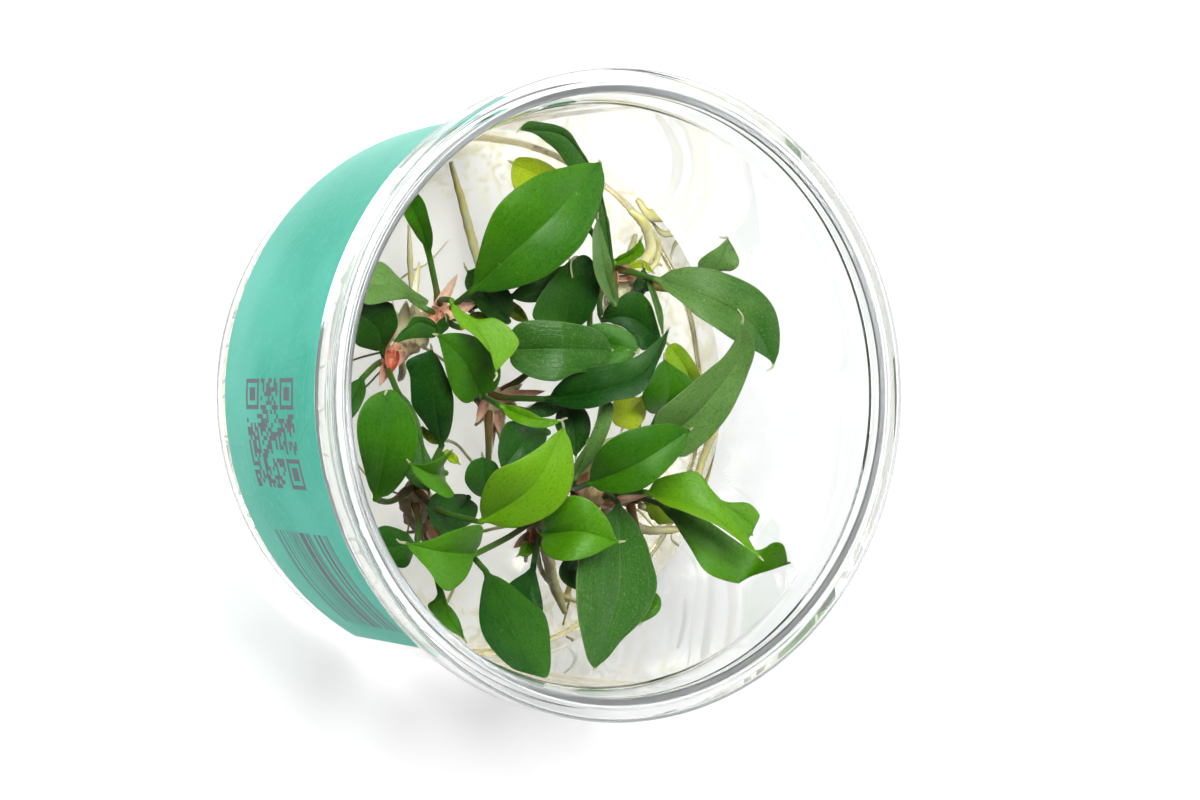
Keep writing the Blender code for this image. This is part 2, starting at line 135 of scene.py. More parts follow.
# Crowns: body points, greatest radius in mm, and each main root's end with its radius in mm.
CROWNS = {
    "a": (((440, 314, 28), (412, 335, 24), (386, 362, 22)), 2.3, ((412, 300, 7, 0.75), (375, 340, 6, 0.6))),
    "b": (((478, 392, 27), (492, 400, 25), (510, 408, 22)), 2.2, ((500, 440, 6, 0.7), (470, 425, 6, 0.6))),
    "c": (((574, 488, 28), (598, 494, 27), (628, 499, 26)), 2.0, ((560, 600, 7, 0.9), (620, 520, 6, 0.7))),
    "d": (((412, 488, 25), (418, 510, 21), (434, 540, 17)), 2.6, ((440, 560, 6, 0.8), (395, 500, 6, 0.7))),
    "e": (((541, 512, 31), (538, 528, 27), (534, 546, 22)), 1.8, ((520, 560, 6, 0.6), (552, 555, 6, 0.7))),
    "f": (((612, 268, 28), (624, 277, 25), (640, 284, 21)), 2.0, ((650, 215, 7, 0.9), (600, 290, 6, 0.6))),
}
CROWN_PROFILE = (0.62, 0.95, 1.0, 0.9, 0.55)

# Leaves: crown, tone, points of the midrib from base to tip, width in mm, turn and fold in degrees. A point
# is two picture coordinates and a height in mm. The numbers 12, 29, 49 and 51 to 60 are slivers of leaf that
# have no solid of their own.
LEAVES = {
    "01": ("a", "mid", ((470, 292, 38), (508, 257, 44), (550, 218, 47), (600, 163, 46)), 14.2, 0, 6),
    "02": ("f", "dark", ((611, 265, 31), (598, 190, 35), (566, 138, 39), (519, 129, 42)), 8.0, 25, 15),
    "03": ("f", "yellow", ((572, 205, 29), (545, 180, 31), (512, 163, 32)), 6.6, 0, 10),
    "04": ("a", "dark", ((429, 257, 29), (419, 222, 33), (402, 190, 35)), 5.6, 20, 15),
    "05": ("a", "grey", ((425, 309, 33), (392, 288, 36), (352, 284, 36)), 6.4, -25, 10),
    "06": ("a", "dark", ((382, 352, 27), (376, 328, 30), (350, 308, 32)), 7.0, 0, 8),
    "07": ("a", "dark", ((440, 331, 34), (417, 322, 37), (393, 342, 38)), 3.6, 20, 10),
    "08": ("a", "yellow", ((450, 300, 39), (483, 338, 43), (495, 372, 46)), 8.4, 5, 12),
    "09": ("b", "dark", ((480, 396, 32), (464, 362, 36), (437, 335, 39)), 7.4, 0, 10),
    "10": ("d", "dark", ((441, 446, 27), (434, 404, 32), (431, 350, 35)), 7.2, 5, 10),
    "11": ("d", "mid", ((375, 500, 33), (384, 448, 40), (386, 390, 42)), 9.6, 0, 8),
    "13": ("a", "grey", ((396, 390, 32), (416, 430, 34), (428, 491, 35)), 5.6, -15, 10),
    "14": ("d", "light", ((445, 473, 34), (432, 474, 40), (409, 463, 43)), 7.4, 10, 20),
    "15": ("a", "dark", ((508, 322, 31), (488, 299, 34), (467, 271, 35)), 6.4, 0, 10),
    "16": ("b", "dark", ((565, 328, 34), (570, 292, 38), (577, 256, 39)), 9.2, -10, 12),
    "17": ("b", "dark", ((506, 350, 38), (560, 349, 43), (611, 350, 43)), 9.4, 0, 6),
    "18": ("f", "light", ((614, 305, 37), (602, 262, 42), (597, 219, 45)), 4.6, -30, 35),
    "19": ("f", "dark", ((600, 320, 28), (630, 318, 30), (661, 340, 31)), 7.8, -8, 12),
    "20": ("f", "mid", ((590, 342, 33), (616, 345, 36), (638, 348, 38)), 6.8, 10, 10),
    "21": ("b", "dark", ((545, 399, 37), (600, 391, 44), (644, 372, 46), (667, 331, 47)), 6.6, 20, 18),
    "22": ("c", "mid", ((657, 416, 33), (668, 394, 37), (664, 360, 38)), 8.0, 0, 8),
    "23": ("c", "yellow", ((692, 388, 28), (684, 366, 31), (668, 345, 32)), 4.6, 0, 12),
    "24": ("c", "mid", ((662, 442, 36), (700, 409, 42), (735, 362, 46), (741, 324, 49)), 8.2, 0, 12),
    "25": ("f", "mid", ((654, 279, 35), (702, 296, 40), (750, 324, 42), (773, 364, 42)), 8.8, 5, 12),
    "26": ("f", "grey", ((704, 284, 26), (720, 262, 29), (730, 236, 30)), 6.0, 0, 15),
    "27": ("f", "light", ((613, 263, 31), (632, 253, 34), (640, 240, 36)), 2.6, 0, 20),
    "28": ("f", "dark", ((641, 293, 26), (644, 283, 28), (643, 268, 29)), 3.8, 0, 10),
    "30": ("c", "mid", ((587, 484, 38), (636, 464, 46), (689, 430, 49)), 9.6, 0, 8),
    "31": ("d", "light", ((480, 522, 38), (532, 486, 46), (563, 428, 49)), 10.6, 0, 8),
    "32": ("b", "dark", ((548, 432, 36), (524, 442, 38), (501, 470, 38)), 7.0, 0, 10),
    "33": ("b", "light", ((500, 406, 37), (530, 418, 41), (560, 421, 44)), 2.8, 0, 25),
    "34": ("c", "dark", ((562, 402, 31), (573, 426, 34), (575, 456, 34)), 5.8, 0, 12),
    "35": ("c", "grey", ((574, 479, 34), (590, 439, 39), (606, 399, 41)), 3.0, 0, 35),
    "36": ("c", "yellow", ((642, 398, 31), (628, 414, 32), (622, 428, 33)), 5.2, 0, 8),
    "37": ("c", "light", ((644, 492, 36), (700, 508, 43), (758, 556, 46)), 7.6, 38, 30),
    "38": ("c", "mid", ((660, 504, 32), (706, 550, 37), (756, 572, 41), (787, 563, 49)), 7.6, 0, 6),
    "39": ("c", "mid", ((712, 498, 31), (745, 520, 33), (768, 545, 34)), 6.2, 0, 12),
    "40": ("e", "light", ((541, 534, 37), (580, 532, 45), (618, 542, 47)), 10.0, 0, 10),
    "41": ("c", "dark", ((617, 502, 33), (619, 550, 39), (616, 600, 43), (594, 668, 47)), 12.6, 0, 8),
    "42": ("e", "light", ((475, 554, 37), (442, 552, 43), (405, 543, 45)), 10.6, 0, 14),
    "43": ("d", "dark", ((485, 571, 36), (508, 624, 44), (539, 681, 52)), 8.8, 0, 8),
    "44": ("e", "dark", ((533, 564, 33), (529, 592, 36), (536, 624, 38)), 5.4, 0, 12),
    "45": ("d", "mid", ((439, 589, 29), (447, 614, 32), (463, 638, 35)), 4.2, 0, 10),
    "46": ("d", "dark", ((416, 545, 29), (400, 546, 32), (370, 548, 33)), 6.2, 0, 10),
    "47": ("d", "dark", ((468, 497, 26), (454, 516, 29), (443, 537, 30)), 7.2, 0, 10),
    "48": ("b", "grey", ((486, 498, 31), (484, 480, 34), (482, 457, 36)), 5.0, 0, 10),
    "50": ("c", "yellow", ((645, 500, 25), (656, 521, 26), (672, 522, 26)), 2.6, 0, 10),
    "12": ("a", "dark", ((362, 378, 31), (352, 400, 33), (346, 424, 34)), 3.4, 0, 10),
    "29": ("f", "grey", ((648, 280, 33), (658, 310, 34), (662, 334, 35)), 1.2, 0, 20),
    "49": ("c", "dark", ((575, 558, 32), (568, 572, 34), (577, 590, 35)), 3.2, 0, 10),
    "51": ("e", "light", ((532, 541, 29), (525, 550, 30), (518, 555, 30)), 2.2, 0, 10),
    "52": ("c", "mid", ((650, 590, 33), (652, 605, 34), (641, 622, 34)), 2.8, 0, 10),
    "53": ("a", "dark", ((510, 297, 33), (540, 288, 35), (574, 264, 36)), 4.0, 0, 10),
    "54": ("f", "yellow", ((620, 270, 27), (640, 264, 28), (652, 272, 28)), 1.4, 0, 15),
    "55": ("b", "dark", ((527, 411, 32), (545, 408, 33), (565, 402, 33)), 3.0, 0, 10),
    "56": ("a", "yellow", ((505, 300, 25), (515, 312, 26), (528, 322, 27)), 2.4, 0, 10),
    "57": ("a", "yellow", ((460, 328, 28), (475, 318, 29), (492, 318, 30)), 2.0, 0, 10),
    "58": ("a", "dark", ((446, 318, 33), (442, 326, 34), (438, 336, 35)), 2.0, 0, 10),
    "59": ("d", "yellow", ((420, 428, 24), (432, 438, 25), (445, 441, 25)), 1.8, 0, 10),
    "60": ("d", "yellow", ((446, 452, 25), (452, 458, 27), (458, 463, 27)), 1.6, 0, 10),
}
# Blades that differ from the plain one: how far each half curves in degrees, the edge's ripple in mm, the
# drip tip's length in mm and its curl, and how far along the blade is widest.
PLAIN_STYLE = (12, 0.18, 1.3, 0.35, 0.50)
STYLES = {
    "01": (10, 0.12), "02": (16,), "08": (4,), "11": (8,), "12": (12, 0.18, 1.3, 0.35, 0.45), "16": (-14,),
    "17": (14, 0.18, 0.3, 0.0), "18": (0,), "21": (8, 0.35), "24": (8, 0.3), "25": (14, 0.25), "30": (14,),
    "31": (14,), "34": (12, 0.18, 1.3, 0.35, 0.45), "38": (8, 0.5), "40": (16,), "41": (10, 0.25), "42": (6,),
    "43": (10,),
}
# Outlines, as picture coordinates: from base to tip, the side on the left as one looks along the leaf, the
# side on the right, and the points of a long tip past the blade's end, where it has one.
OUTLINES = {
    "01": (
        (474, 270, 479, 250, 485, 230, 494, 210, 507, 195, 523, 183, 541, 173, 561, 168, 583, 163),
        (483, 293, 500, 291, 522, 286, 545, 277, 565, 261, 581, 245, 591, 226, 600, 203, 604, 180),
        (598, 160),
    ),
    "02": (
        (603, 250, 597, 228, 590, 205, 578, 182, 566, 165, 556, 151, 545, 142, 534, 134),
        (612, 250, 608, 235, 605, 213, 601, 190, 590, 165, 579, 148, 569, 132, 556, 125, 540, 122, 527, 121),
        (516, 133),
    ),
    "03": (
        (550, 206, 530, 201, 516, 192, 511, 181, 510, 171),
        (571, 186, 555, 169, 540, 160, 525, 157, 516, 158),
        (),
    ),
    "04": (
        (424, 246, 415, 236, 409, 225, 403, 214, 398, 203),
        (432, 243, 431, 228, 427, 212, 421, 198, 412, 189),
        (),
    ),
    "05": (
        (416, 300, 405, 299, 390, 301, 375, 304, 365, 304, 357, 297),
        (429, 302, 422, 296, 412, 290, 400, 279, 389, 267, 378, 262, 364, 268),
        (),
    ),
    "06": (
        (370, 350, 358, 346, 350, 336, 347, 322),
        (391, 338, 397, 325, 395, 312, 390, 303, 375, 301, 360, 301),
        (),
    ),
    "07": (
        (432, 338, 420, 338, 408, 339, 399, 342),
        (436, 324, 428, 318, 418, 316, 411, 318, 407, 326, 400, 332),
        (),
    ),
    "08": (
        (451, 312, 458, 324, 470, 333, 482, 344, 491, 357),
        (462, 311, 478, 320, 492, 318, 506, 325, 518, 340, 514, 352, 504, 363),
        (496, 376, 493, 381),
    ),
    "09": (
        (466, 403, 455, 396, 449, 384, 444, 366, 440, 348),
        (494, 390, 500, 376, 497, 358, 484, 342, 470, 335, 452, 333),
        (432, 334),
    ),
    "10": (
        (434, 438, 424, 424, 412, 407, 410, 390, 409, 376, 405, 363, 414, 356),
        (448, 436, 452, 420, 453, 400, 449, 384, 442, 366, 437, 357),
        (),
    ),
    "11": (
        (368, 486, 362, 465, 358, 445, 356, 425, 360, 409, 368, 398, 378, 392),
        (387, 496, 398, 486, 407, 472, 414, 455, 417, 435, 412, 414, 402, 399, 393, 390),
        (384, 395),
    ),
    "13": (
        (408, 400, 418, 420, 424, 445, 432, 462, 434, 478),
        (392, 405, 394, 430, 398, 455, 404, 475, 415, 486),
        (),
    ),
    "14": (
        (446, 484, 454, 494, 447, 498, 436, 493, 424, 485, 414, 474),
        (443, 462, 447, 454, 452, 448, 441, 458, 428, 463, 417, 464),
        (406, 459),
    ),
    "15": ((494, 321, 480, 311, 470, 297, 464, 284), (513, 305, 508, 290, 495, 275, 480, 267), ()),
    "16": (
        (546, 326, 532, 318, 535, 302, 546, 285, 558, 271, 568, 261),
        (580, 326, 592, 312, 599, 292, 598, 275, 592, 261, 585, 255),
        (571, 260, 570, 268, 572, 278),
    ),
    "17": (
        (509, 334, 519, 323, 535, 320, 555, 321, 575, 324, 592, 328, 605, 337),
        (512, 366, 525, 375, 540, 380, 557, 381, 573, 374, 590, 371, 605, 364),
        (),
    ),
    "18": (
        (607, 300, 601, 290, 596, 279, 592, 262, 591, 245, 593, 229),
        (619, 301, 615, 288, 611, 266, 607, 250, 602, 232),
        (),
    ),
    "19": (
        (606, 307, 616, 300, 628, 292, 640, 293, 650, 304, 656, 322),
        (610, 323, 622, 327, 632, 337, 641, 350, 652, 346),
        (),
    ),
    "20": (
        (588, 327, 602, 323, 614, 325, 625, 330, 634, 338),
        (592, 360, 606, 367, 618, 366, 631, 359),
        (637, 353, 634, 352),
    ),
    "21": (
        (556, 386, 568, 374, 585, 368, 605, 365, 625, 360, 642, 352, 656, 341),
        (560, 406, 578, 409, 596, 408, 614, 401, 634, 396, 648, 385, 657, 364, 665, 344),
        (669, 327),
    ),
    "22": (
        (646, 410, 641, 398, 645, 386, 652, 374, 658, 364),
        (668, 411, 682, 399, 693, 387, 688, 377, 676, 368),
        (),
    ),
    "23": ((680, 383, 670, 371, 663, 360, 664, 351), (700, 379, 696, 367, 690, 357, 683, 348, 675, 343), ()),
    "24": (
        (653, 428, 657, 412, 672, 399, 690, 384, 706, 370, 722, 357, 733, 342),
        (680, 457, 696, 449, 713, 434, 728, 415, 738, 396, 747, 374, 754, 352, 750, 334),
        (742, 317, 737, 309),
    ),
    "25": (
        (668, 271, 688, 267, 710, 269, 735, 277, 757, 289, 773, 308, 779, 330, 778, 352),
        (664, 290, 680, 302, 696, 316, 714, 328, 734, 341, 754, 351, 766, 358),
        (771, 368, 766, 371),
    ),
    "26": (
        (697, 264, 706, 254, 717, 247, 725, 240),
        (718, 272, 730, 271, 738, 265, 737, 253, 734, 243),
        (724, 238, 719, 237),
    ),
    "27": ((618, 256, 628, 251, 635, 245), (623, 265, 635, 260, 643, 253, 643, 246), (642, 235)),
    "28": ((632, 287, 636, 277), (651, 289, 648, 276), ()),
    "30": (
        (590, 468, 597, 452, 610, 439, 628, 430, 650, 425, 672, 424),
        (600, 491, 622, 494, 642, 489, 660, 476, 675, 460, 685, 445),
        (692, 428),
    ),
    "31": (
        (479, 505, 482, 490, 490, 475, 500, 467, 513, 462, 528, 454, 541, 445, 553, 434),
        (497, 526, 513, 528, 530, 524, 546, 517, 558, 508, 567, 496, 573, 478, 573, 460, 570, 442),
        (561, 421, 557, 420),
    ),
    "32": ((541, 448, 526, 460, 510, 470), (530, 424, 514, 421, 504, 424, 499, 438, 497, 454), ()),
    "33": (
        (511, 405, 526, 410, 540, 417, 551, 419),
        (505, 415, 513, 421, 526, 426, 540, 428, 552, 426),
        (563, 419, 567, 418),
    ),
    "35": (
        (573, 465, 581, 451, 590, 437, 596, 420, 599, 405),
        (583, 471, 595, 457, 604, 441, 611, 422, 613, 406),
        (),
    ),
    "36": ((646, 408, 643, 420, 634, 430), (626, 396, 613, 401, 611, 413, 613, 424), ()),
    "37": (
        (655, 480, 676, 474, 697, 472, 711, 489, 725, 505, 739, 522, 750, 542),
        (662, 504, 680, 510, 700, 519, 720, 528, 738, 540, 750, 551),
        (763, 561),
    ),
    "38": (
        (690, 510, 712, 524, 732, 538, 750, 549, 762, 549, 771, 543, 781, 544, 785, 552),
        (667, 512, 678, 530, 690, 549, 703, 570, 722, 580, 750, 585, 771, 580),
        (),
    ),
    "39": ((728, 502, 747, 503, 758, 513, 764, 528), (720, 513, 735, 526, 749, 540), ()),
    "40": (
        (543, 520, 552, 508, 568, 496, 585, 498, 600, 510, 610, 525, 614, 536),
        (541, 548, 550, 558, 568, 561, 588, 557, 606, 548),
        (625, 541),
    ),
    "41": (
        (626, 510, 637, 526, 646, 543, 651, 560, 656, 578, 655, 593, 648, 610, 637, 625, 621, 640, 607, 658),
        (608, 512, 596, 530, 583, 550, 576, 570, 575, 592, 577, 615, 581, 638, 587, 660),
        (593, 671),
    ),
    "42": (
        (470, 568, 463, 581, 450, 591, 438, 586, 427, 570, 413, 554),
        (481, 541, 482, 526, 469, 525, 450, 531, 432, 539, 414, 543),
        (399, 542, 396, 539),
    ),
    "43": (
        (500, 578, 513, 587, 527, 599, 542, 611, 548, 628, 550, 648, 550, 667, 546, 678),
        (482, 585, 479, 602, 478, 617, 481, 632, 488, 645, 499, 658, 511, 668, 526, 677),
        (541, 683),
    ),
    "44": ((537, 580, 541, 598, 542, 612), (524, 573, 508, 584, 512, 600, 522, 615), ()),
    "45": ((443, 600, 452, 609, 458, 619, 462, 630), (434, 599, 427, 606, 434, 616, 448, 630), ()),
    "46": ((411, 558, 403, 568, 388, 562), (406, 533, 393, 527, 380, 526, 371, 535), ()),
    "47": ((477, 508, 472, 522, 457, 531), (452, 494, 436, 493, 427, 502, 428, 516, 434, 528), ()),
    "48": ((476, 495, 465, 484, 465, 470, 473, 460), (492, 488, 499, 474, 494, 462), ()),
    "50": ((652, 504, 662, 503, 669, 512), (648, 512, 656, 521, 665, 524), ()),
}
OUTLINE_POINTS = 120
# Greens: base colour, second colour, vein colour and how much light goes through.
TONES = {
    "dark": ((0.004, 0.060, 0.002), (0.030, 0.140, 0.005), (0.090, 0.240, 0.030), 0),
    "mid": ((0.030, 0.165, 0.001), (0.080, 0.290, 0.002), (0.170, 0.420, 0.035), 0),
    "light": ((0.085, 0.300, 0.001), (0.185, 0.460, 0.005), (0.300, 0.580, 0.055), 0.25),
    "yellow": ((0.220, 0.460, 0.002), (0.500, 0.650, 0.010), (0.600, 0.720, 0.100), 0.30),
    # Painted sheen: the grey tone's grey-green stands in for the surroundings mirrored in the leaf's surface.
    "grey": ((0.030, 0.135, 0.008), (0.155, 0.320, 0.070), (0.270, 0.440, 0.140), 0),
}
# A leaf's look, its place from the first green to the second, and how much that rises from base to tip and
# from left to right.
# These follow how light each leaf and each half looks, so they are partly painted light and shade: a half
# that faces away from the light is painted darker, and a grey end stands in for a sheen.
SHADES = {
    "01": ("mid", 0.2, -0.2, -0.35), "02": ("grey", 0.0), "03": ("yellow", 0.75), "04": ("mid", 0.2, 0, -0.3),
    "05": ("grey", 1.0), "06": ("dark", 0.6), "07": ("dark", 0.9), "08": ("light", 0.7), "09": ("mid", 0.35),
    "10": ("dark", 0.2, 0, 0.2), "11": ("mid", 0.15, 0, 0.1), "12": ("dark", 0.6), "13": ("grey", 0.1),
    "14": ("mid", 0.8), "15": ("dark", 0.6), "16": ("dark", 0.6, 0, -0.5), "17": ("grey", -0.1, -0.5),
    "18": ("grey", 0.9), "19": ("dark", 0.3, 0, -0.4), "20": ("mid", 0.1), "21": ("dark", 0.1, 0.5, -0.4),
    "22": ("mid", 0.3), "23": ("yellow", 0.1), "24": ("grey", 1.0, -0.2, -0.2),
    "25": ("grey", 0.45, -1.2, 0.2), "26": ("grey", 0.9), "27": ("light", 0.6),
    "30": ("mid", 0.25, -0.2, 0.2), "31": ("light", 1.2), "32": ("dark", 0.4), "33": ("light", 0.4),
    "34": ("dark", 0.4), "35": ("grey", 1.0, 0, -0.3), "36": ("yellow", 1.0), "37": ("light", 0.65, 0, 0.6),
    "38": ("mid", 1.0, 0.3, 0.1), "39": ("light", 0.2), "40": ("light", -0.3), "41": ("grey", -0.2, 0, 0.2),
    "42": ("mid", 0.9), "43": ("dark", 0.55, 0, -0.5), "44": ("dark", 0.1), "45": ("mid", 0.3),
    "47": ("dark", 0.3), "48": ("dark", 0.7), "50": ("yellow", 0.4),
}
# The places of the blade's points from the midrib to the edge, and the points round one of its rings.
ACROSS = (0.0, 0.03, 0.09, 0.20, 0.36, 0.54, 0.72, 0.88, 0.96, 1.0)
ROW = len(ACROSS) * 2 - 1
BLADE_RINGS = 34
PETIOLE_RINGS = 9
TIP_RINGS = 8
TIP_RADII = (0.26, 0.11)
TIP_REACH = 0.12
TIP_FLATNESS = 0.7
EDGE_THICKNESS = 0.05 * MM
MIDDLE_THICKNESS = 0.17 * MM
GROOVE_DEPTH = 0.10 * MM
GROOVE_WIDTH = 0.3 * MM
RIDGE_DEPTH = 0.34 * MM
RIDGE_WIDTH = 0.45 * MM
SEED = 431


def wall_radius(height):
    """The tub's outer radius on its tapered wall, below the shoulder."""
    low_radius = BASE_FLAT_RADIUS + BASE_CORNER
    share = (height - BASE_CORNER) / (SHOULDER_HEIGHT - BASE_CORNER)
    return low_radius + (SHOULDER_RADIUS - low_radius) * share


def drawn_in(point, limit, low, high=math.inf):
    """The point, brought within a distance of the axis and between two heights."""
    flat = Vector((point.x, point.y, 0))
    if flat.length > limit:
        flat = flat.normalized() * limit
    return Vector((flat.x, flat.y, min(max(point.z, low), high)))


def kept_inside(point):
    """A point of a leaf, kept above the gel, under the lid and off the wall."""
    low, high = GEL_SURFACE + EDGE_CLEARANCE, LID_UNDERSIDE - EDGE_CLEARANCE
    height = min(max(point.z, low), high)
    limit = wall_radius(min(height, SHOULDER_HEIGHT)) - TUB_WALL - EDGE_CLEARANCE
    return drawn_in(point, limit, low, high)


def in_reach(point):
    """A point of a root, kept off the tub's wall and floor."""
    limit = wall_radius(max(point.z, BASE_CORNER)) - TUB_WALL - ROOT_WALL_CLEARANCE
    return drawn_in(point, limit, TUB_FLOOR + ROOT_FLOOR_CLEARANCE)


def pairs(numbers):
    return [Vector(pair) for pair in zip(numbers[::2], numbers[1::2])]


def between(values, share):
    """The value at a share of the way along a list of values."""
    place = share * (len(values) - 1)
    i = min(int(place), len(values) - 2)
    return values[i] + (values[i + 1] - values[i]) * (place - i)


def smooth_route(points, share):
    spans = len(points) - 1
    place = min(max(share, 0) * spans, spans - 1e-6)
    i = int(place)
    t = place - i
    before = points[i - 1] if i else points[0] * 2 - points[1]
    after = points[i + 2] if i + 2 <= spans else points[-1] * 2 - points[-2]
    here, there = points[i], points[i + 1]
    return 0.5 * (
        2 * here
        + (there - before) * t
        + (2 * before - 5 * here + 4 * there - after) * t**2
        + (3 * here - 3 * there + after - before) * t**3
    )


def evenly(points, share, cache={}):
    """The place along a smooth route at a share of its length."""
    key = tuple(tuple(point) for point in points)
    if key not in cache:
        dense = [smooth_route(points, k / OUTLINE_POINTS) for k in range(OUTLINE_POINTS + 1)]
        lengths = [0.0]
        for a, b in zip(dense, dense[1:]):
            lengths.append(lengths[-1] + (b - a).length)
        cache[key] = dense, lengths
    dense, lengths = cache[key]
    goal = min(max(share, 0), 1) * lengths[-1]
    i = min(bisect.bisect_right(lengths, goal), OUTLINE_POINTS) - 1
    return dense[i].lerp(dense[i + 1], (goal - lengths[i]) / max(lengths[i + 1] - lengths[i], 1e-12))


def heading(route, share):
    before, after = smooth_route(route, max(share - 0.02, 0)), smooth_route(route, min(share + 0.02, 1))
    return (after - before).normalized()


def crown_body(crown):
    return [seen(*point) for point in CROWNS[crown][0]]


def body_radius(crown, share):
    return between(CROWN_PROFILE, share) * CROWNS[crown][1] * MM


def nearest_share(route, target):
    shares = [k / 8 for k in range(9)]
    return min(shares, key=lambda share: (smooth_route(route, share) - target).length)


def smoothstep(low, high, value):
    t = min(max((value - low) / (high - low), 0), 1)
    return t * t * (3 - 2 * t)


def blade_axes(along, turn):
    """The ways across a blade and out of its upper face."""
    across = along.cross(TO_EYE).normalized()
    out = across.cross(along).normalized()
    return (
        across * math.cos(turn) + out * math.sin(turn),
        out * math.cos(turn) - across * math.sin(turn),
    )


def placed(name, data):
    obj = bpy.data.objects.new(name, data)
    bpy.context.scene.collection.objects.link(obj)
    return obj


def mesh_from(name, bm, looks):
    mesh = bpy.data.meshes.new(name)
    bm.to_mesh(mesh)
    bm.free()
    for look in looks:
        mesh.materials.append(look)
    return mesh


def piece(name, bm, looks, nodes, sharp=None, clear=False):
    """A piece that stands for nodes of the frame. sharp is the angle in degrees from which an edge shows.
    Clear pieces cast no shadow."""
    mesh = mesh_from(name, bm, looks)
    mesh.shade_smooth()
    if sharp:
        mesh.set_sharp_from_angle(angle=math.radians(sharp))
    obj = placed(name, mesh)
    obj.visible_shadow = not clear
    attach(obj, "root")
    if nodes:
        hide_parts(*nodes)


def skin(bm, rings, mark=0):
    """Joins rings of equal length into a closed tube with flat ends. mark is its place among the looks."""
    count = len(rings[0])
    faces = []
    for near, far in zip(rings, rings[1:]):
        for i in range(count):
            j = (i + 1) % count
            faces.append(bm.faces.new((near[i], near[j], far[j], far[i])))
    faces += [bm.faces.new(rings[0][::-1]), bm.faces.new(rings[-1])]
    for face in faces:
        face.material_index = mark


def tube(bm, route, radii, sides, steps, rough, grain):
    """A knobbly tube along a smooth route. rough is how far its radius varies, as a share."""
    rings = []
    side = (route[1] - route[0]).orthogonal()
    for k in range(steps):
        share = k / (steps - 1)
        radius = between(radii, share)
        here = smooth_route(route, share)
        along = heading(route, share)
        side = (side - along * side.dot(along)).normalized()
        up = along.cross(side)
        ring = []
        for n in range(sides):
            angle = 2 * math.pi * n / sides
            away = side * math.cos(angle) + up * math.sin(angle)
            swell = 1 + rough * noise.noise((here + away * radius) * grain)
            ring.append(bm.verts.new(here + away * radius * swell))
        rings.append(ring)
    skin(bm, rings)


def turned(name, outline, look, node, steps=ROUND_STEPS, warp=Vector):
    """A clear solid of revolution about Z. The outline's first and last points are on the axis."""
    bm = bmesh.new()
    foot = bm.verts.new((0, 0, outline[0][1]))
    head = bm.verts.new((0, 0, outline[-1][1]))
    rings = []
    for radius, height in outline[1:-1]:
        ring = []
        for step in range(steps):
            angle = 2 * math.pi * step / steps
            spot = Vector((radius * math.cos(angle), radius * math.sin(angle), height))
            ring.append(bm.verts.new(warp(spot)))
        rings.append(ring)
    for step in range(steps):
        after = (step + 1) % steps
        bm.faces.new((foot, rings[0][after], rings[0][step]))
        bm.faces.new((head, rings[-1][step], rings[-1][after]))
        for low, high in zip(rings, rings[1:]):
            bm.faces.new((low[step], low[after], high[after], high[step]))
    piece(name, bm, (look,), (node,), SHARP_EDGE, clear=True)


def arc(centre, radius, start, end, steps):
    points = []
    for step in range(steps + 1):
        angle = math.radians(start + (end - start) * step / steps)
        points.append((centre[0] + radius * math.cos(angle), centre[1] + radius * math.sin(angle)))
    return points


class Nodes:
    """Short calls for a node tree. A value is a socket to link or a plain value to set."""

    def __init__(self, tree):
        self.tree = tree

    def put(self, value, socket):
        if isinstance(value, bpy.types.NodeSocket):
            self.tree.links.new(value, socket)
        else:
            socket.default_value = (*value, 1) if socket.type == "RGBA" else value

    def add(self, kind, **settings):
        node = self.tree.nodes.new(kind)
        for key, value in settings.items():
            setattr(node, key, value)
        return node

    def feed(self, node, *values):
        """Puts values on a node's first sockets and gives its first output."""
        for socket, value in zip(node.inputs, values):
            self.put(value, socket)
        return node.outputs[0]

    def fit(self, node, **values):
        """Puts values on a node's sockets by name and gives its outputs."""
        for key, value in values.items():
            self.put(value, node.inputs[key.replace("_", " ")])
        return node.outputs

    def split(self, vector):
        node = self.add("ShaderNodeSeparateXYZ")
        self.feed(node, vector)
        return node.outputs

    def math(self, operation, *values):
        return self.feed(self.add("ShaderNodeMath", operation=operation), *values)

    def times(self, a, b):
        return self.math("MULTIPLY", a, b)

    def share(self, value, low, high):
        """value from low to high, read as 0 to 1."""
        return self.feed(self.add("ShaderNodeMapRange", clamp=True), value, low, high, 0.0, 1.0)

    def ramp(self, value, low, high, start=0.0, end=1.0):
        """value from low to high, read smoothly as start to end."""
        node = self.add("ShaderNodeMapRange", interpolation_type="SMOOTHSTEP")
        return self.feed(node, value, low, high, start, end)

    def mix(self, share, a, b):
        node = self.add("ShaderNodeMix", data_type="RGBA")
        for place, value in ((0, share), (6, a), (7, b)):
            self.put(value, node.inputs[place])
        return node.outputs[2]

    def layers(self, colour, *over):
        """Mixes colours over the first one, each by its share."""
        for share, shade in over:
            colour = self.mix(share, colour, shade)
        return colour

    def noise(self, vector, scale, detail=3.0, rough=0.5):
        node = self.add("ShaderNodeTexNoise")
        return self.fit(node, Vector=vector, Scale=scale, Detail=detail, Roughness=rough)["Fac"]

    def place(self):
        return self.add("ShaderNodeTexCoord").outputs["Object"]

    def radius(self):
        """The distance from the tub's axis."""
        x, y, _ = self.split(self.place())
        return self.math("SQRT", self.math("ADD", self.times(x, x), self.times(y, y)))

    def within(self, value, low, high):
        return self.times(self.math("GREATER_THAN", value, low), self.math("LESS_THAN", value, high))

    def chance(self, first, second, seed):
        """A random number for each cell of two values."""
        cell = self.add("ShaderNodeCombineXYZ")
        self.feed(cell, self.math("FLOOR", first), self.math("FLOOR", second), seed)
        white = self.add("ShaderNodeTexWhiteNoise", noise_dimensions="3D")
        return self.fit(white, Vector=cell.outputs[0])["Value"]


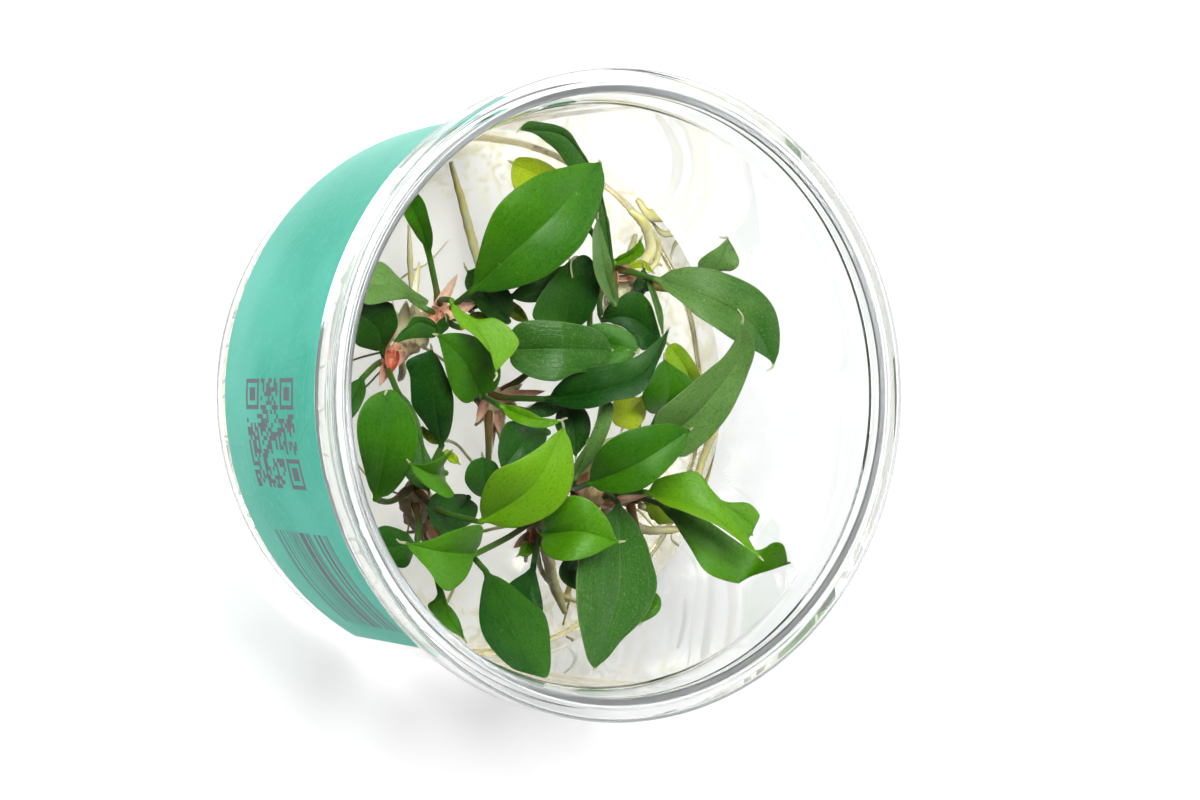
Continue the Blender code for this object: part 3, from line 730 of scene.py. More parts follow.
class Look(Nodes):
    """A material and short calls for its shader."""

    def __init__(self, name):
        self.material = bpy.data.materials.new(name)
        self.material.use_nodes = True
        super().__init__(self.material.node_tree)
        self.shader = self.tree.nodes["Principled BSDF"]

    def set(self, **values):
        self.fit(self.shader, **values)

    def bump(self, height, distance):
        node = self.add("ShaderNodeBump")
        self.set(Normal=self.fit(node, Height=height, Distance=distance, Strength=1.0)["Normal"])

    def absorb(self, colour, density):
        volume = self.fit(self.add("ShaderNodeVolumeAbsorption"), Color=colour, Density=density)[0]
        self.fit(self.tree.nodes["Material Output"], Volume=volume)

    def clear(self, ior, roughness, colour):
        self.set(Transmission_Weight=1.0, IOR=ior, Roughness=roughness, Base_Color=colour)


def clear_plastic(name, tint, other, haze=0.0):
    """Moulded polystyrene: clear, with faint flow marks, and grey where light runs a long way inside it.
    haze is the roughness at the top of the tub's mouth."""
    n = Look(name)
    lip = n.ramp(n.split(n.place())[2], TUB_HEIGHT - 0.5 * MM, TUB_HEIGHT - 0.1 * MM, 0.0, haze)
    flow = n.ramp(n.noise(n.place(), 140.0, 2.0), 0.35, 0.65)
    n.clear(PLASTIC_IOR, lip, n.mix(flow, tint, other))
    n.absorb((0.34, 0.38, 0.39), 4.0)
    return n.material


def gel_look():
    """Pale yellow gel with faint swirls, which are weaker in the middle."""
    n = Look("gel_look")
    swirl = n.noise(n.place(), 75.0, 3.0, 0.6)
    fold = n.math("ABSOLUTE", n.math("SUBTRACT", n.math("FRACT", n.times(swirl, 9.0)), 0.5))
    radius = n.radius()
    seen_swirl = n.times(n.ramp(fold, 0.40, 0.05), n.ramp(radius, 0.028, 0.043, 0.10, 1.0))
    swirls = n.mix(seen_swirl, (1.0, 1.0, 0.975), (0.80, 0.77, 0.58))
    n.clear(WATER_IOR, 0.0, n.mix(n.ramp(radius, 0.0437, 0.0415), (0.88, 0.86, 0.74), swirls))
    n.absorb((0.88, 0.76, 0.34), 9.0)
    return n.material


def water_look():
    n = Look("droplet_look")
    n.clear(WATER_IOR, 0.0, n.mix(n.noise(n.place(), 900.0, 1.0), (1.0, 1.0, 1.0), (0.96, 0.99, 0.97)))
    return n.material


def bead_painted_shade_look():
    n = Look("bead_painted_shade_look")
    # Painted shade: the clear plastic is tinted grey to give the rim's edge its grey look.
    n.clear(BEAD_IOR, 0.20, n.mix(n.noise(n.place(), 140.0, 2.0), (0.56, 0.58, 0.59), (0.70, 0.72, 0.73)))
    return n.material


def leaf_look(tone):
    """Satin green: blotches, streaks that run towards the tip, specks, a pale midrib, margin and tip."""
    base, second, vein, scatter = TONES[tone]
    n = Look(f"leaf_{tone}_look")
    blade = n.add("ShaderNodeAttribute", attribute_name="blade")
    along, across, tint = n.split(blade.outputs["Vector"])
    place = n.place()
    wide = n.math("ABSOLUTE", across)
    blotch = n.noise(place, 190.0, 3.0, 0.6)
    # The tint from SHADES is partly painted light and shade.
    share = n.math("MULTIPLY_ADD", n.math("SUBTRACT", blotch, 0.5), 1.1, tint)
    stretched = n.add("ShaderNodeCombineXYZ")
    fan = n.math("SUBTRACT", n.times(across, 26.0), n.times(n.math("SIGN", across), along))
    n.feed(stretched, n.times(along, 5.0), fan, n.times(n.split(place)[2], 60.0))
    streak = n.noise(stretched.outputs[0], 1.0, 3.0, 0.6)
    grain = n.noise(place, 2600.0, 2.0, 0.75)
    stalk = n.mix(n.ramp(along, -1.0, -0.3), (0.20, 0.12, 0.03), (0.06, 0.17, 0.015))
    colour = n.layers(
        n.mix(n.math("MINIMUM", n.math("MAXIMUM", share, 0.0), 1.0), base, second),
        (n.ramp(streak, 0.48, 0.80, 0.0, 0.14), vein),
        (n.ramp(streak, 0.50, 0.25, 0.0, 0.22), tuple(0.5 * part for part in base)),
        (n.ramp(grain, 0.54, 0.74, 0.0, 0.32), vein),
        (n.ramp(grain, 0.48, 0.30, 0.0, 0.45), tuple(0.45 * part for part in base)),
        (n.times(n.ramp(wide, 0.040, 0.0), n.ramp(along, 0.95, 0.0, 0.02, 0.30)), vein),
        (n.ramp(wide, 0.95, 1.0, 0.0, 0.60), vein),
        (n.ramp(along, 0.985, 1.02), (0.62, 0.66, 0.34)),
        (n.ramp(along, 1.05, 1.10), (0.80, 0.76, 0.52)),
        (n.ramp(along, 0.03, -0.04), stalk),
    )
    n.set(Base_Color=colour, Specular_IOR_Level=0.20, Roughness=n.ramp(grain, 0.3, 0.7, 0.27, 0.42))
    if scatter:
        n.set(Subsurface_Weight=scatter, Subsurface_Scale=0.0012, Subsurface_Radius=(0.6, 1.0, 0.10))
    n.bump(n.math("ADD", grain, n.times(streak, 1.5)), 0.00005)
    return n.material


def plant_look(name, base, second, third, roughness, scatter):
    n = Look(name)
    place = n.place()
    streak = n.noise(place, 1900.0, 3.0, 0.65)
    colour = n.layers(
        base,
        (n.ramp(n.noise(place, 420.0, 3.0), 0.38, 0.62), second),
        (n.ramp(streak, 0.50, 0.72, 0.0, 0.7), third),
    )
    n.set(Base_Color=colour, Roughness=roughness)
    n.set(Subsurface_Weight=scatter, Subsurface_Scale=0.0015, Subsurface_Radius=(1.0, 0.6, 0.3))
    n.bump(streak, 0.0001)
    return n.material


LABEL_GREEN = (0.065, 0.460, 0.345)
LABEL_PALE = (0.200, 0.580, 0.480)
LABEL_DEEP = (0.030, 0.380, 0.270)
LABEL_PRINT = (0.110, 0.105, 0.135)
CODE_CELLS = 25.0
CODE_ANGLE = (math.radians(-3.3), math.radians(18.2))
CODE_HEIGHT = (17.6 * MM, 37.4 * MM)
BARS_ANGLE = (math.radians(27.6), math.radians(52.5))
BARS_HEIGHT = (16.5 * MM, 40.3 * MM)
BAR_SLOTS = 84.0


def label_look():
    """Mint film. Its print is a block of square cells with three square marks, and a set of lines."""
    n = Look("label_look")
    place = n.place()
    x, y, z = n.split(place)
    angle = n.math("ARCTAN2", x, n.times(y, -1.0))
    cloud = n.noise(place, 45.0, 3.0)
    fine = n.noise(place, 900.0, 3.0, 0.6)
    colour = n.layers(
        LABEL_GREEN,
        (n.ramp(cloud, 0.35, 0.65), LABEL_DEEP),
        # Painted light: the film is paler on the side that faces the key light.
        (n.ramp(angle, math.radians(-30), math.radians(-80), 0.0, 0.8), LABEL_PALE),
        (n.ramp(z, 0.026, 0.010, 0.0, 0.35), LABEL_PALE),
        (n.ramp(fine, 0.5, 0.8, 0.0, 0.25), LABEL_PALE),
        (n.times(printed(n, angle, z), n.ramp(fine, 0.2, 0.5, 0.70, 0.95)), LABEL_PRINT),
    )
    n.set(Base_Color=colour, Roughness=0.45, Specular_IOR_Level=0.15)
    creases = n.add("ShaderNodeTexVoronoi", feature="DISTANCE_TO_EDGE")
    fold = n.ramp(n.fit(creases, Vector=place, Scale=120.0)["Distance"], 0.0, 0.05, 1.0, 0.0)
    some = n.times(fold, n.ramp(cloud, 0.45, 0.6, 0.0, 0.4))
    n.bump(n.math("ADD", some, n.math("MULTIPLY_ADD", fine, 0.2, cloud)), 0.00010)
    return n.material


def printed(n, angle, height):
    """Where there is ink, from 0 to 1, by angle round the tub and height."""
    edge = 0.001
    across = n.times(n.share(angle, *CODE_ANGLE), CODE_CELLS)
    up = n.times(n.share(height, *CODE_HEIGHT), CODE_CELLS)
    inside = n.times(n.within(across, edge, CODE_CELLS - edge), n.within(up, edge, CODE_CELLS - edge))
    ink = n.times(inside, n.math("GREATER_THAN", n.chance(across, up, 3.0), 0.48))
    low, high = 3.5, CODE_CELLS - 3.5
    for middle in ((low, low), (low, high), (high, high)):
        far = n.math(
            "MAXIMUM",
            *(n.math("ABSOLUTE", n.math("SUBTRACT", value, at)) for value, at in zip((across, up), middle)),
        )
        ink = n.times(ink, n.math("GREATER_THAN", far, 4.5))
        mark = n.math("MAXIMUM", n.within(far, 2.5, 3.49), n.math("LESS_THAN", far, 1.5))
        ink = n.math("MAXIMUM", ink, mark)
    slot = n.times(n.share(height, *BARS_HEIGHT), BAR_SLOTS)
    bars = n.math("GREATER_THAN", n.chance(slot, 7.0, 11.0), 0.50)
    bars = n.times(bars, n.within(slot, edge, BAR_SLOTS - edge))
    bars = n.times(bars, n.within(angle, *BARS_ANGLE))
    return n.math("MAXIMUM", ink, bars)


def shoulder(height):
    """The tub's outer radius where the wall swells smoothly to the mouth."""
    swell = smoothstep(SHOULDER_HEIGHT - SWELL_BELOW, SHOULDER_HEIGHT + SHOULDER_RISE + SWELL_ABOVE, height)
    return wall_radius(min(height, SHOULDER_HEIGHT)) * (1 - swell) + MOUTH_RADIUS * swell


def ripple(spot):
    """Moulded walls are never quite true."""
    away = Vector((spot.x, spot.y, 0))
    if away.length < FLAT_MIDDLE:
        return spot
    return spot + away.normalized() * (noise.noise(spot * RIPPLE_GRAIN) * RIPPLE_DEPTH)


def make_tub():
    heights = [SHOULDER_HEIGHT - 3.5 * MM + k * SHOULDER_ROW for k in range(SHOULDER_ROWS)]
    inner_mouth = MOUTH_RADIUS - TUB_WALL
    outline = [(0, 0), (BASE_FLAT_RADIUS - 6 * MM, 0)]
    outline += arc((BASE_FLAT_RADIUS, BASE_CORNER), BASE_CORNER, -90, 0, 12)
    outline += [(wall_radius(height), height) for height in WALL_HEIGHTS]
    outline += [(shoulder(height), height) for height in heights]
    outline += [
        (MOUTH_RADIUS, TUB_HEIGHT - TUB_LIP),
        (MOUTH_RADIUS - TUB_LIP, TUB_HEIGHT),
        (inner_mouth + TUB_LIP, TUB_HEIGHT),
        (inner_mouth, TUB_HEIGHT - TUB_LIP),
    ]
    outline += [(shoulder(height) - TUB_WALL, height + GAP) for height in reversed(heights)]
    outline += [(wall_radius(height) - TUB_WALL, height) for height in reversed(WALL_HEIGHTS)]
    inner_corner = BASE_CORNER + TUB_FLOOR - TUB_WALL
    corner_radius = wall_radius(inner_corner) - TUB_WALL
    outline += arc((corner_radius - GEL_CORNER, TUB_FLOOR + GEL_CORNER), GEL_CORNER, 0, -90, 10)
    outline += [(INNER_RING, TUB_FLOOR), (0, TUB_FLOOR)]
    look = clear_plastic("clear_tub_look", (0.97, 0.985, 0.985), (0.99, 0.995, 0.995), 0.45)
    turned("tub_shell", outline, look, "tub", warp=ripple)


def make_lid():
    panel_top = LID_UNDERSIDE + LID_PANEL
    rim_top = panel_top + LID_RIM_RISE
    bead_seat = LID_RADIUS - 2.2 * BEAD_RADIUS
    outline = [
        (0, LID_UNDERSIDE),
        (INNER_RING, LID_UNDERSIDE),
        (LID_SKIRT_INNER, LID_UNDERSIDE),
        (LID_SKIRT_INNER, LID_SKIRT_BOTTOM + LID_LIP),
        (LID_SKIRT_INNER + LID_LIP, LID_SKIRT_BOTTOM),
        (LID_RADIUS - LID_LIP, LID_SKIRT_BOTTOM),
        (LID_RADIUS, LID_SKIRT_BOTTOM + LID_LIP),
        (LID_RADIUS, rim_top - 2.6 * BEAD_RADIUS),
        (bead_seat, rim_top - 2.3 * BEAD_RADIUS),
        (bead_seat, rim_top - LID_LIP / 2),
        (bead_seat - LID_LIP / 2, rim_top),
        (LID_RECESS_RADIUS + LID_LIP, rim_top),
        (LID_RECESS_RADIUS, rim_top - LID_LIP),
        (LID_RECESS_RADIUS - LID_LIP, panel_top),
        (INNER_RING, panel_top),
        (0, panel_top),
    ]
    look = clear_plastic("clear_lid_look", (0.98, 0.99, 0.99), (0.995, 1.0, 1.0))
    turned("lid_shell", outline, look, "lid")
    make_bead(rim_top)


def make_bead(rim_top):
    """The rounded outer edge of the rim, tinted grey as painted shade. It is fainter at the picture's top."""
    bm = bmesh.new()
    rings = []
    for step in range(ROUND_STEPS):
        angle = 2 * math.pi * step / ROUND_STEPS
        out = Vector((math.cos(angle), math.sin(angle), 0))
        radius = BEAD_RADIUS * (0.72 + 0.28 * out.x - 0.22 * max(-out.x - 0.3, 0))
        centre = out * (LID_RADIUS - radius) + Vector((0, 0, rim_top - BEAD_RADIUS))
        ring = []
        for k in range(BEAD_SIDES):
            turn = 2 * math.pi * k / BEAD_SIDES
            spot = centre + out * (radius * math.cos(turn)) + Vector((0, 0, radius * math.sin(turn)))
            ring.append(bm.verts.new(spot))
        rings.append(ring)
    for near, far in zip(rings, rings[1:] + rings[:1]):
        for i in range(BEAD_SIDES):
            j = (i + 1) % BEAD_SIDES
            bm.faces.new((near[i], far[i], far[j], near[j]))
    piece("lid_bead", bm, (bead_painted_shade_look(),), ("lid",), clear=True)


def make_label():
    """The film: two sheets of rows and steps, joined along their border."""
    steps, rows = LABEL_STEPS, LABEL_ROWS
    bm = bmesh.new()
    outer, inner = [], []
    for step in range(steps + 1):
        line_out, line_in = [], []
        for row in range(rows + 1):
            end = LABEL_END - LABEL_SKEW * row / rows
            angle = LABEL_START + (end - LABEL_START) * step / steps
            outward = Vector((math.sin(angle), -math.cos(angle), 0))
            height = LABEL_BOTTOM + (LABEL_TOP - LABEL_BOTTOM) * row / rows
            spot = outward * (wall_radius(height) + LABEL_LIFT) + Vector((0, 0, height))
            edge = min(row, rows - row, step, steps - step) / 2
            lift = max(0, noise.noise(spot * LABEL_GRAIN)) * LABEL_CREASE * min(edge, 1)
            line_in.append(bm.verts.new(spot + outward * lift))
            line_out.append(bm.verts.new(spot + outward * (lift + LABEL_FILM)))
        outer.append(line_out)
        inner.append(line_in)
    for grid, turn in ((outer, 1), (inner, -1)):
        for a, b in zip(grid, grid[1:]):
            for row in range(rows):
                bm.faces.new((a[row], b[row], b[row + 1], a[row + 1])[::turn])
    border = [(k, 0) for k in range(steps)] + [(steps, k) for k in range(rows)]
    border += [(k, rows) for k in range(steps, 0, -1)] + [(0, k) for k in range(rows, 0, -1)]
    for (i, j), (k, m) in zip(border, border[1:] + border[:1]):
        bm.faces.new((outer[i][j], inner[i][j], inner[k][m], outer[k][m]))
    piece("label_film", bm, (label_look(),), ("label",), sharp=50)


def make_gel():
    """The gel climbs the wall a little at its edge, and its surface is uneven."""

    def wall_at(height):
        return wall_radius(height) - TUB_WALL - GEL_LIFT

    floor = TUB_FLOOR + GEL_LIFT
    centre = (wall_radius(BASE_CORNER) - TUB_WALL - GEL_CORNER, TUB_FLOOR + GEL_CORNER + GEL_LIFT)
    outline = [(0, floor), (INNER_RING, floor)]
    outline += arc(centre, GEL_CORNER - GEL_LIFT, -90, 0, 8)
    outline += [
        (wall_at(9 * MM), 9 * MM),
        (wall_at(GEL_CLIMB), GEL_CLIMB),
        (wall_at(GEL_CLIMB) - 0.3 * MM, 13.55 * MM),
        (wall_at(GEL_SURFACE) - 1.0 * MM, GEL_SURFACE + 0.15 * MM),
        (wall_at(GEL_SURFACE) - 2.2 * MM, GEL_SURFACE),
    ]
    outline += [(radius * MM, GEL_SURFACE) for radius in range(41, 1, -1)]
    outline.append((0, GEL_SURFACE))

    def uneven(spot):
        if spot.z > GEL_SURFACE - 0.1 * MM and spot.xy.length < GEL_FLAT_RADIUS:
            spot.z += sum(noise.noise(spot * grain) * depth for grain, depth in GEL_WAVES) * MM
        return spot

    turned("gel_layer", outline, gel_look(), "gel", GEL_STEPS, uneven)


def blade_share(place, widest):
    """How wide a blade without an outline is at a place along it, as a share of its width."""
    if place < widest:
        return math.sin(math.pi / 2 * place / widest) ** 0.72
    return math.cos(math.pi / 2 * (place - widest) / (1 - widest)) ** 0.85


def disc(here, across, out, radius, along, flat=1.0):
    """A round or flattened ring with as many points as one of the blade: upper half, then lower."""
    points = []
    for k, face in [(k, 1) for k in range(ROW)] + [(k, -1) for k in range(ROW - 2, 0, -1)]:
        angle = math.pi * (1 - k / (ROW - 1))
        spot = here + across * (math.cos(angle) * radius) + out * (face * math.sin(angle) * radius * flat)
        points.append((spot, along, math.cos(angle) * 0.5))
    return points


class Leaf:
    """A leaf's stalk, blade and drip tip."""

    def __init__(self, number):
        crown, self.tone, midrib, width, turn, fold = LEAVES[number]
        style = STYLES.get(number, ())
        self.bend, self.wave, tip_length, self.tip_curl, self.widest = (*style, *PLAIN_STYLE[len(style) :])
        self.width = width * MM
        self.turn = math.radians(turn)
        self.fold = math.radians(fold)
        self.tip_length = min(tip_length * MM, self.width * 0.3)
        draw = random.Random(SEED + int(number))
        self.phase = draw.uniform(0, 6.28)
        self.ripples = draw.uniform(1.6, 2.6)
        shade = SHADES.get(number, (self.tone, 0.5))
        self.look, self.tint, self.rise, self.lean = (*shade, 0, 0)[:4]
        self.middle = [Vector(point) for point in midrib]
        self.spine = [seen(*point) for point in midrib]
        foot, tip = self.middle[0].xy, self.middle[-1].xy
        *sides, tail = OUTLINES.get(number, ((),))
        self.sides = [[foot, *pairs(side), tip] for side in sides]
        self.tail = pairs(tail)
        base = self.spine[0]
        body = crown_body(crown)
        share = nearest_share(body, base)
        hold = smooth_route(body, share)
        start = hold + (base - hold).normalized() * body_radius(crown, share) * 0.6
        reach = (base - start).length
        self.petiole = [start, start.lerp(base, 0.5) - heading(self.spine, 0) * reach * 0.12, base]

    def axes(self, place):
        along = heading(self.spine, place)
        return along, *blade_axes(along, self.turn)

    def edge(self, place, side, middle, across, out):
        """The blade's edge at a place along it. side is -1 for left, 1 for right."""
        least = PETIOLE_RADIUS if place < 0.5 else THIN_END
        if not self.sides:
            half = max(self.width / 2 * blade_share(place, self.widest), least)
            return middle + (across * (side * math.cos(self.fold)) + out * math.sin(self.fold)) * half
        spot = evenly(self.sides[0 if side < 0 else 1], place)
        here = evenly(self.middle, place)
        half = (spot - here.xy).length / PIXELS_PER_MM
        point = seen(*spot, here.z + half * math.tan(self.fold + side * self.turn))
        return point if (point - middle).length > least else middle + across * side * least

    def section(self, place):
        """Points of the middle surface across the blade at a place along it, from left to right."""
        _, across, out = self.axes(place)
        here = seen(*evenly(self.middle, place)) if self.sides else smooth_route(self.spine, place)
        row = []
        for side, shares in ((-1, ACROSS[:0:-1]), (1, ACROSS)):
            edge = self.edge(place, side, here, across, out)
            half = (edge - here).length
            ripple = math.sin(2 * math.pi * self.ripples * place + self.phase + side)
            for share in shares:
                wave = self.wave * MM * ripple * share**2 * math.sin(math.pi * place)
                rise = half * math.radians(self.bend) * share * (1 - share) + wave
                row.append((side * share, half, here.lerp(edge, share) + out * rise))
        return row, here, across, out

    def surface(self):
        """Upper and lower points of the blade, ring by ring, with its axes there."""
        places = [k / (BLADE_RINGS - 1) for k in range(BLADE_RINGS)]
        sections = [self.section(place) for place in places]
        for k, place in enumerate(places):
            row, here, across, out = sections[k]
            near, far = sections[max(k - 1, 0)][0], sections[min(k + 1, BLADE_RINGS - 1)][0]
            taper = 0.4 + 0.6 * math.sin(math.pi * min(max(place, 0.03), 0.97))
            line = []
            for n, (share, half, spot) in enumerate(row):
                sideways = row[min(n + 1, ROW - 1)][2] - row[max(n - 1, 0)][2]
                normal = sideways.cross(far[n][2] - near[n][2])
                normal = out if normal.length < 1e-12 else normal.normalized()
                normal = -normal if normal.dot(out) < 0 else normal
                run = abs(share) * half
                thick = taper * (EDGE_THICKNESS + (MIDDLE_THICKNESS - EDGE_THICKNESS) * (1 - share**2))
                groove = GROOVE_DEPTH * math.exp(-((run / GROOVE_WIDTH) ** 2)) * (1 - place)
                ridge = RIDGE_DEPTH * math.exp(-((run / RIDGE_WIDTH) ** 2)) * (1 - place) ** 0.8
                line.append((share, spot + normal * (thick - groove), spot - normal * (thick + ridge)))
            yield place, line, here, across, out

    def build(self, bm, layer):
        rings = []

        def add_ring(points):
            ring = []
            for spot, along, across in points:
                vert = bm.verts.new(kept_inside(spot))
                # Partly painted light and shade: the slopes darken or lighten halves and ends of the blade.
                tint = self.tint + self.rise * (min(max(along, 0), 1) - 0.5) + self.lean * across
                vert[layer] = Vector((along, across, tint))
                ring.append(vert)
            rings.append(ring)

        for k in range(PETIOLE_RINGS):
            share = k / PETIOLE_RINGS
            across, out = blade_axes(heading(self.petiole, share), self.turn)
            radius = PETIOLE_RADIUS * (1.35 - 0.45 * smoothstep(0, 0.5, share))
            add_ring(disc(smooth_route(self.petiole, share), across, out, radius, share - 1.05))
        for place, row, here, across, out in self.surface():
            stalk = disc(here, across, out, PETIOLE_RADIUS * 0.9, place)
            blend = smoothstep(-0.01, 0.09, place)
            faces = [(share, upper) for share, upper, _ in row]
            faces += [(share, lower) for share, _, lower in row[-2:0:-1]]
            add_ring([(foot[0].lerp(spot, blend), place, share) for foot, (share, spot) in zip(stalk, faces)])
        self.add_tip(add_ring)
        skin(bm, rings)

    def add_tip(self, add_ring):
        """The drip tip: along its own picture points, or a short curl."""
        along, across, out = self.axes(1)
        end = self.middle[-1]
        here = seen(*end)
        route = [here, *(seen(*spot, end.z + 0.5 + 0.4 * k) for k, spot in enumerate(self.tail))]
        for k in range(1, TIP_RINGS + 1):
            t = k / TIP_RINGS
            if self.tail:
                spot = smooth_route(route, t)
                across, out = blade_axes(heading(route, t), self.turn)
            else:
                spot = here + (along * t + out * (self.tip_curl * t**2)) * self.tip_length
            add_ring(disc(spot, across, out, between(TIP_RADII, t) * MM, 1 + TIP_REACH * t, TIP_FLATNESS))

    def spot(self, place, share):
        """A point on the upper face and the way it faces."""
        row, _, _, out = self.section(place)
        nearest = min(row, key=lambda item: abs(item[0] - share))
        return nearest[2] + out * MIDDLE_THICKNESS, out


def make_leaves():
    looks = {tone: leaf_look(tone) for tone in TONES}
    for number in LEAVES:
        leaf = Leaf(number)
        bm = bmesh.new()
        leaf.build(bm, bm.verts.layers.float_vector.new("blade"))
        node = f"leaf_{number}"
        known = (node,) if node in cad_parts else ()
        piece(f"{node}_blade", bm, (looks[leaf.look],), known)


SHEATH_STEPS = 12
SHEATH_ARCS = 10
SHEATH_FILM = 0.14 * MM
STALK_SHEATH_WIDTH = 1.7 * MM
STALK_SHEATH_LEAST = 1.5 * MM
STALK_SHEATH_MOST = 5.0 * MM
# Sides, rings, roughness and grain of a crown's body and of each kind of root, and how the roots taper.
BODY_TUBE = (28, 30, 0.35, 620)
MAIN_ROOT_TUBE = (10, 26, 0.25, 900)
LONG_ROOT_TUBE = (12, 48, 0.2, 800)
FINE_ROOT_TUBE = (8, 36, 0.2, 900)
MAIN_ROOT_TAPER = (1, 1, 0.9, 0.5)
LONG_ROOT_TAPER = (0.5, 1, 1, 1, 0.8)
FINE_ROOT_TAPER = (1, 1, 1, 0.6)
FINE_ROOTS = 3
FINE_ROOT_STEPS = 5


def bract(bm, foot, tip, width, mark, wrap=200.0, flare=0.0):
    """A thin pointed sheath, rolled about the line from its foot to its tip. wrap is how far, in degrees."""
    axis = tip - foot
    along = axis.normalized()
    side = along.cross(TO_EYE).normalized()
    up = side.cross(along).normalized()
    rings = []
    for k in range(SHEATH_STEPS + 1):
        t = k / SHEATH_STEPS
        shape = math.sin(math.pi * min(0.25 + 0.75 * t, 1)) ** 0.7 if t < 1 else 0.02
        radius = max(width / 2 * shape, 0.04 * MM)
        spread = math.radians(wrap) * (1 - 0.5 * t)
        centre = foot + axis * t + up * (flare * t * t)
        outer, inner = [], []
        for n in range(SHEATH_ARCS + 1):
            angle = -math.pi / 2 + spread * (n / SHEATH_ARCS - 0.5)
            away = side * math.cos(angle) + up * math.sin(angle)
            outer.append(bm.verts.new(centre + away * radius))
            inner.append(bm.verts.new(centre + away * max(radius - SHEATH_FILM, 0.01 * MM)))
        rings.append(outer + inner[::-1])
    skin(bm, rings, mark)


def root_route(crown, end):
    """From a crown's body down into the gel and to a root's end."""
    body = crown_body(crown)
    finish = drawn_in(seen(*end), ROOT_REACH, 0)
    start = smooth_route(body, min(max(nearest_share(body, finish), 0.25), 0.75))
    entry = start.lerp(finish, 0.4)
    entry.z = GEL_SURFACE + 0.35 * (start.z - GEL_SURFACE)
    return [start, entry, finish]


# Long roots that show beside the leaves: picture points with heights in mm, and radius in mm.
SHOWN_ROOTS = (
    (((447, 162, 9), (458, 205, 8), (470, 245, 9), (480, 275, 14), (470, 310, 22)), 0.80),
    (((406, 225, 10), (408, 262, 11), (414, 300, 17), (420, 325, 22)), 0.50),
    (((640, 190, 8), (652, 215, 9), (650, 250, 16), (632, 275, 22)), 1.00),
    (((660, 205, 6), (662, 235, 9), (655, 262, 15), (634, 280, 20)), 0.55),
    (((735, 408, 16), (742, 438, 14), (733, 470, 12), (720, 500, 12), (690, 520, 17), (640, 506, 25)), 0.75),
    (((560, 612, 8), (552, 585, 11), (548, 560, 17), (540, 538, 24)), 1.00),
    (((684, 528, 17), (664, 530, 18), (640, 528, 21), (616, 506, 26)), 0.75),
    (((578, 604, 9), (566, 598, 9), (552, 590, 9), (540, 568, 14), (536, 545, 22)), 0.45),
    (((505, 450, 9), (498, 432, 17), (490, 412, 24)), 0.40),
    (((488, 452, 9), (486, 430, 17), (484, 408, 24)), 0.35),
    (((395, 380, 8), (402, 372, 15), (398, 352, 22)), 0.60),
)
# Sheaths and stalks that show beside the leaves: foot, tip, width in mm and look (1 salmon, 2 beige, 3 red).
SHOWN_SHEATHS = {
    "a": (
        ((432, 318, 32), (457, 274, 34), 2.0, 1),
        ((438, 316, 33), (477, 303, 34), 2.4, 1),
        ((428, 312, 32), (446, 322, 34), 3.0, 1),
        ((413, 302, 28), (419, 260, 28), 1.3, 2),
        ((400, 346, 26), (406, 300, 29), 2.8, 2),
        ((390, 340, 27), (392, 300, 27), 1.4, 2),
        ((396, 342, 27), (379, 386, 26), 2.6, 1),
        ((392, 350, 28), (390, 374, 28), 2.4, 3),
        ((400, 350, 28), (398, 366, 28), 1.8, 1),
        ((420, 335, 30), (424, 350, 30), 2.4, 2),
    ),
    "b": (
        ((494, 399, 29), (545, 391, 31), 1.9, 1),
        ((486, 398, 29), (476, 424, 27), 1.7, 1),
        ((492, 400, 28), (500, 436, 24), 1.9, 1),
        ((500, 398, 28), (522, 384, 28), 1.7, 2),
        ((497, 400, 28), (512, 414, 27), 2.2, 1),
        ((490, 404, 27), (486, 446, 20), 0.8, 2),
        ((496, 404, 27), (492, 450, 20), 0.7, 1),
    ),
    "c": (
        ((580, 492, 30), (594, 450, 34), 3.0, 2),
        ((574, 494, 30), (588, 472, 33), 2.2, 1),
        ((604, 500, 29), (650, 494, 32), 1.9, 1),
        ((600, 500, 29), (616, 505, 30), 2.4, 1),
    ),
    "d": (
        ((414, 520, 24), (426, 508, 27), 2.6, 2),
        ((430, 530, 24), (440, 548, 24), 2.2, 1),
    ),
    "e": (
        ((535, 548, 30), (540, 517, 34), 2.6, 3),
        ((533, 556, 28), (535, 538, 31), 1.8, 1),
        ((530, 534, 27), (513, 548, 27), 1.6, 1),
    ),
    "f": (
        ((616, 276, 28), (642, 273, 30), 2.2, 1),
        ((618, 292, 26), (602, 320, 24), 2.6, 2),
        ((628, 284, 27), (608, 302, 26), 2.2, 2),
        ((618, 266, 28), (632, 260, 30), 1.6, 1),
    ),
}


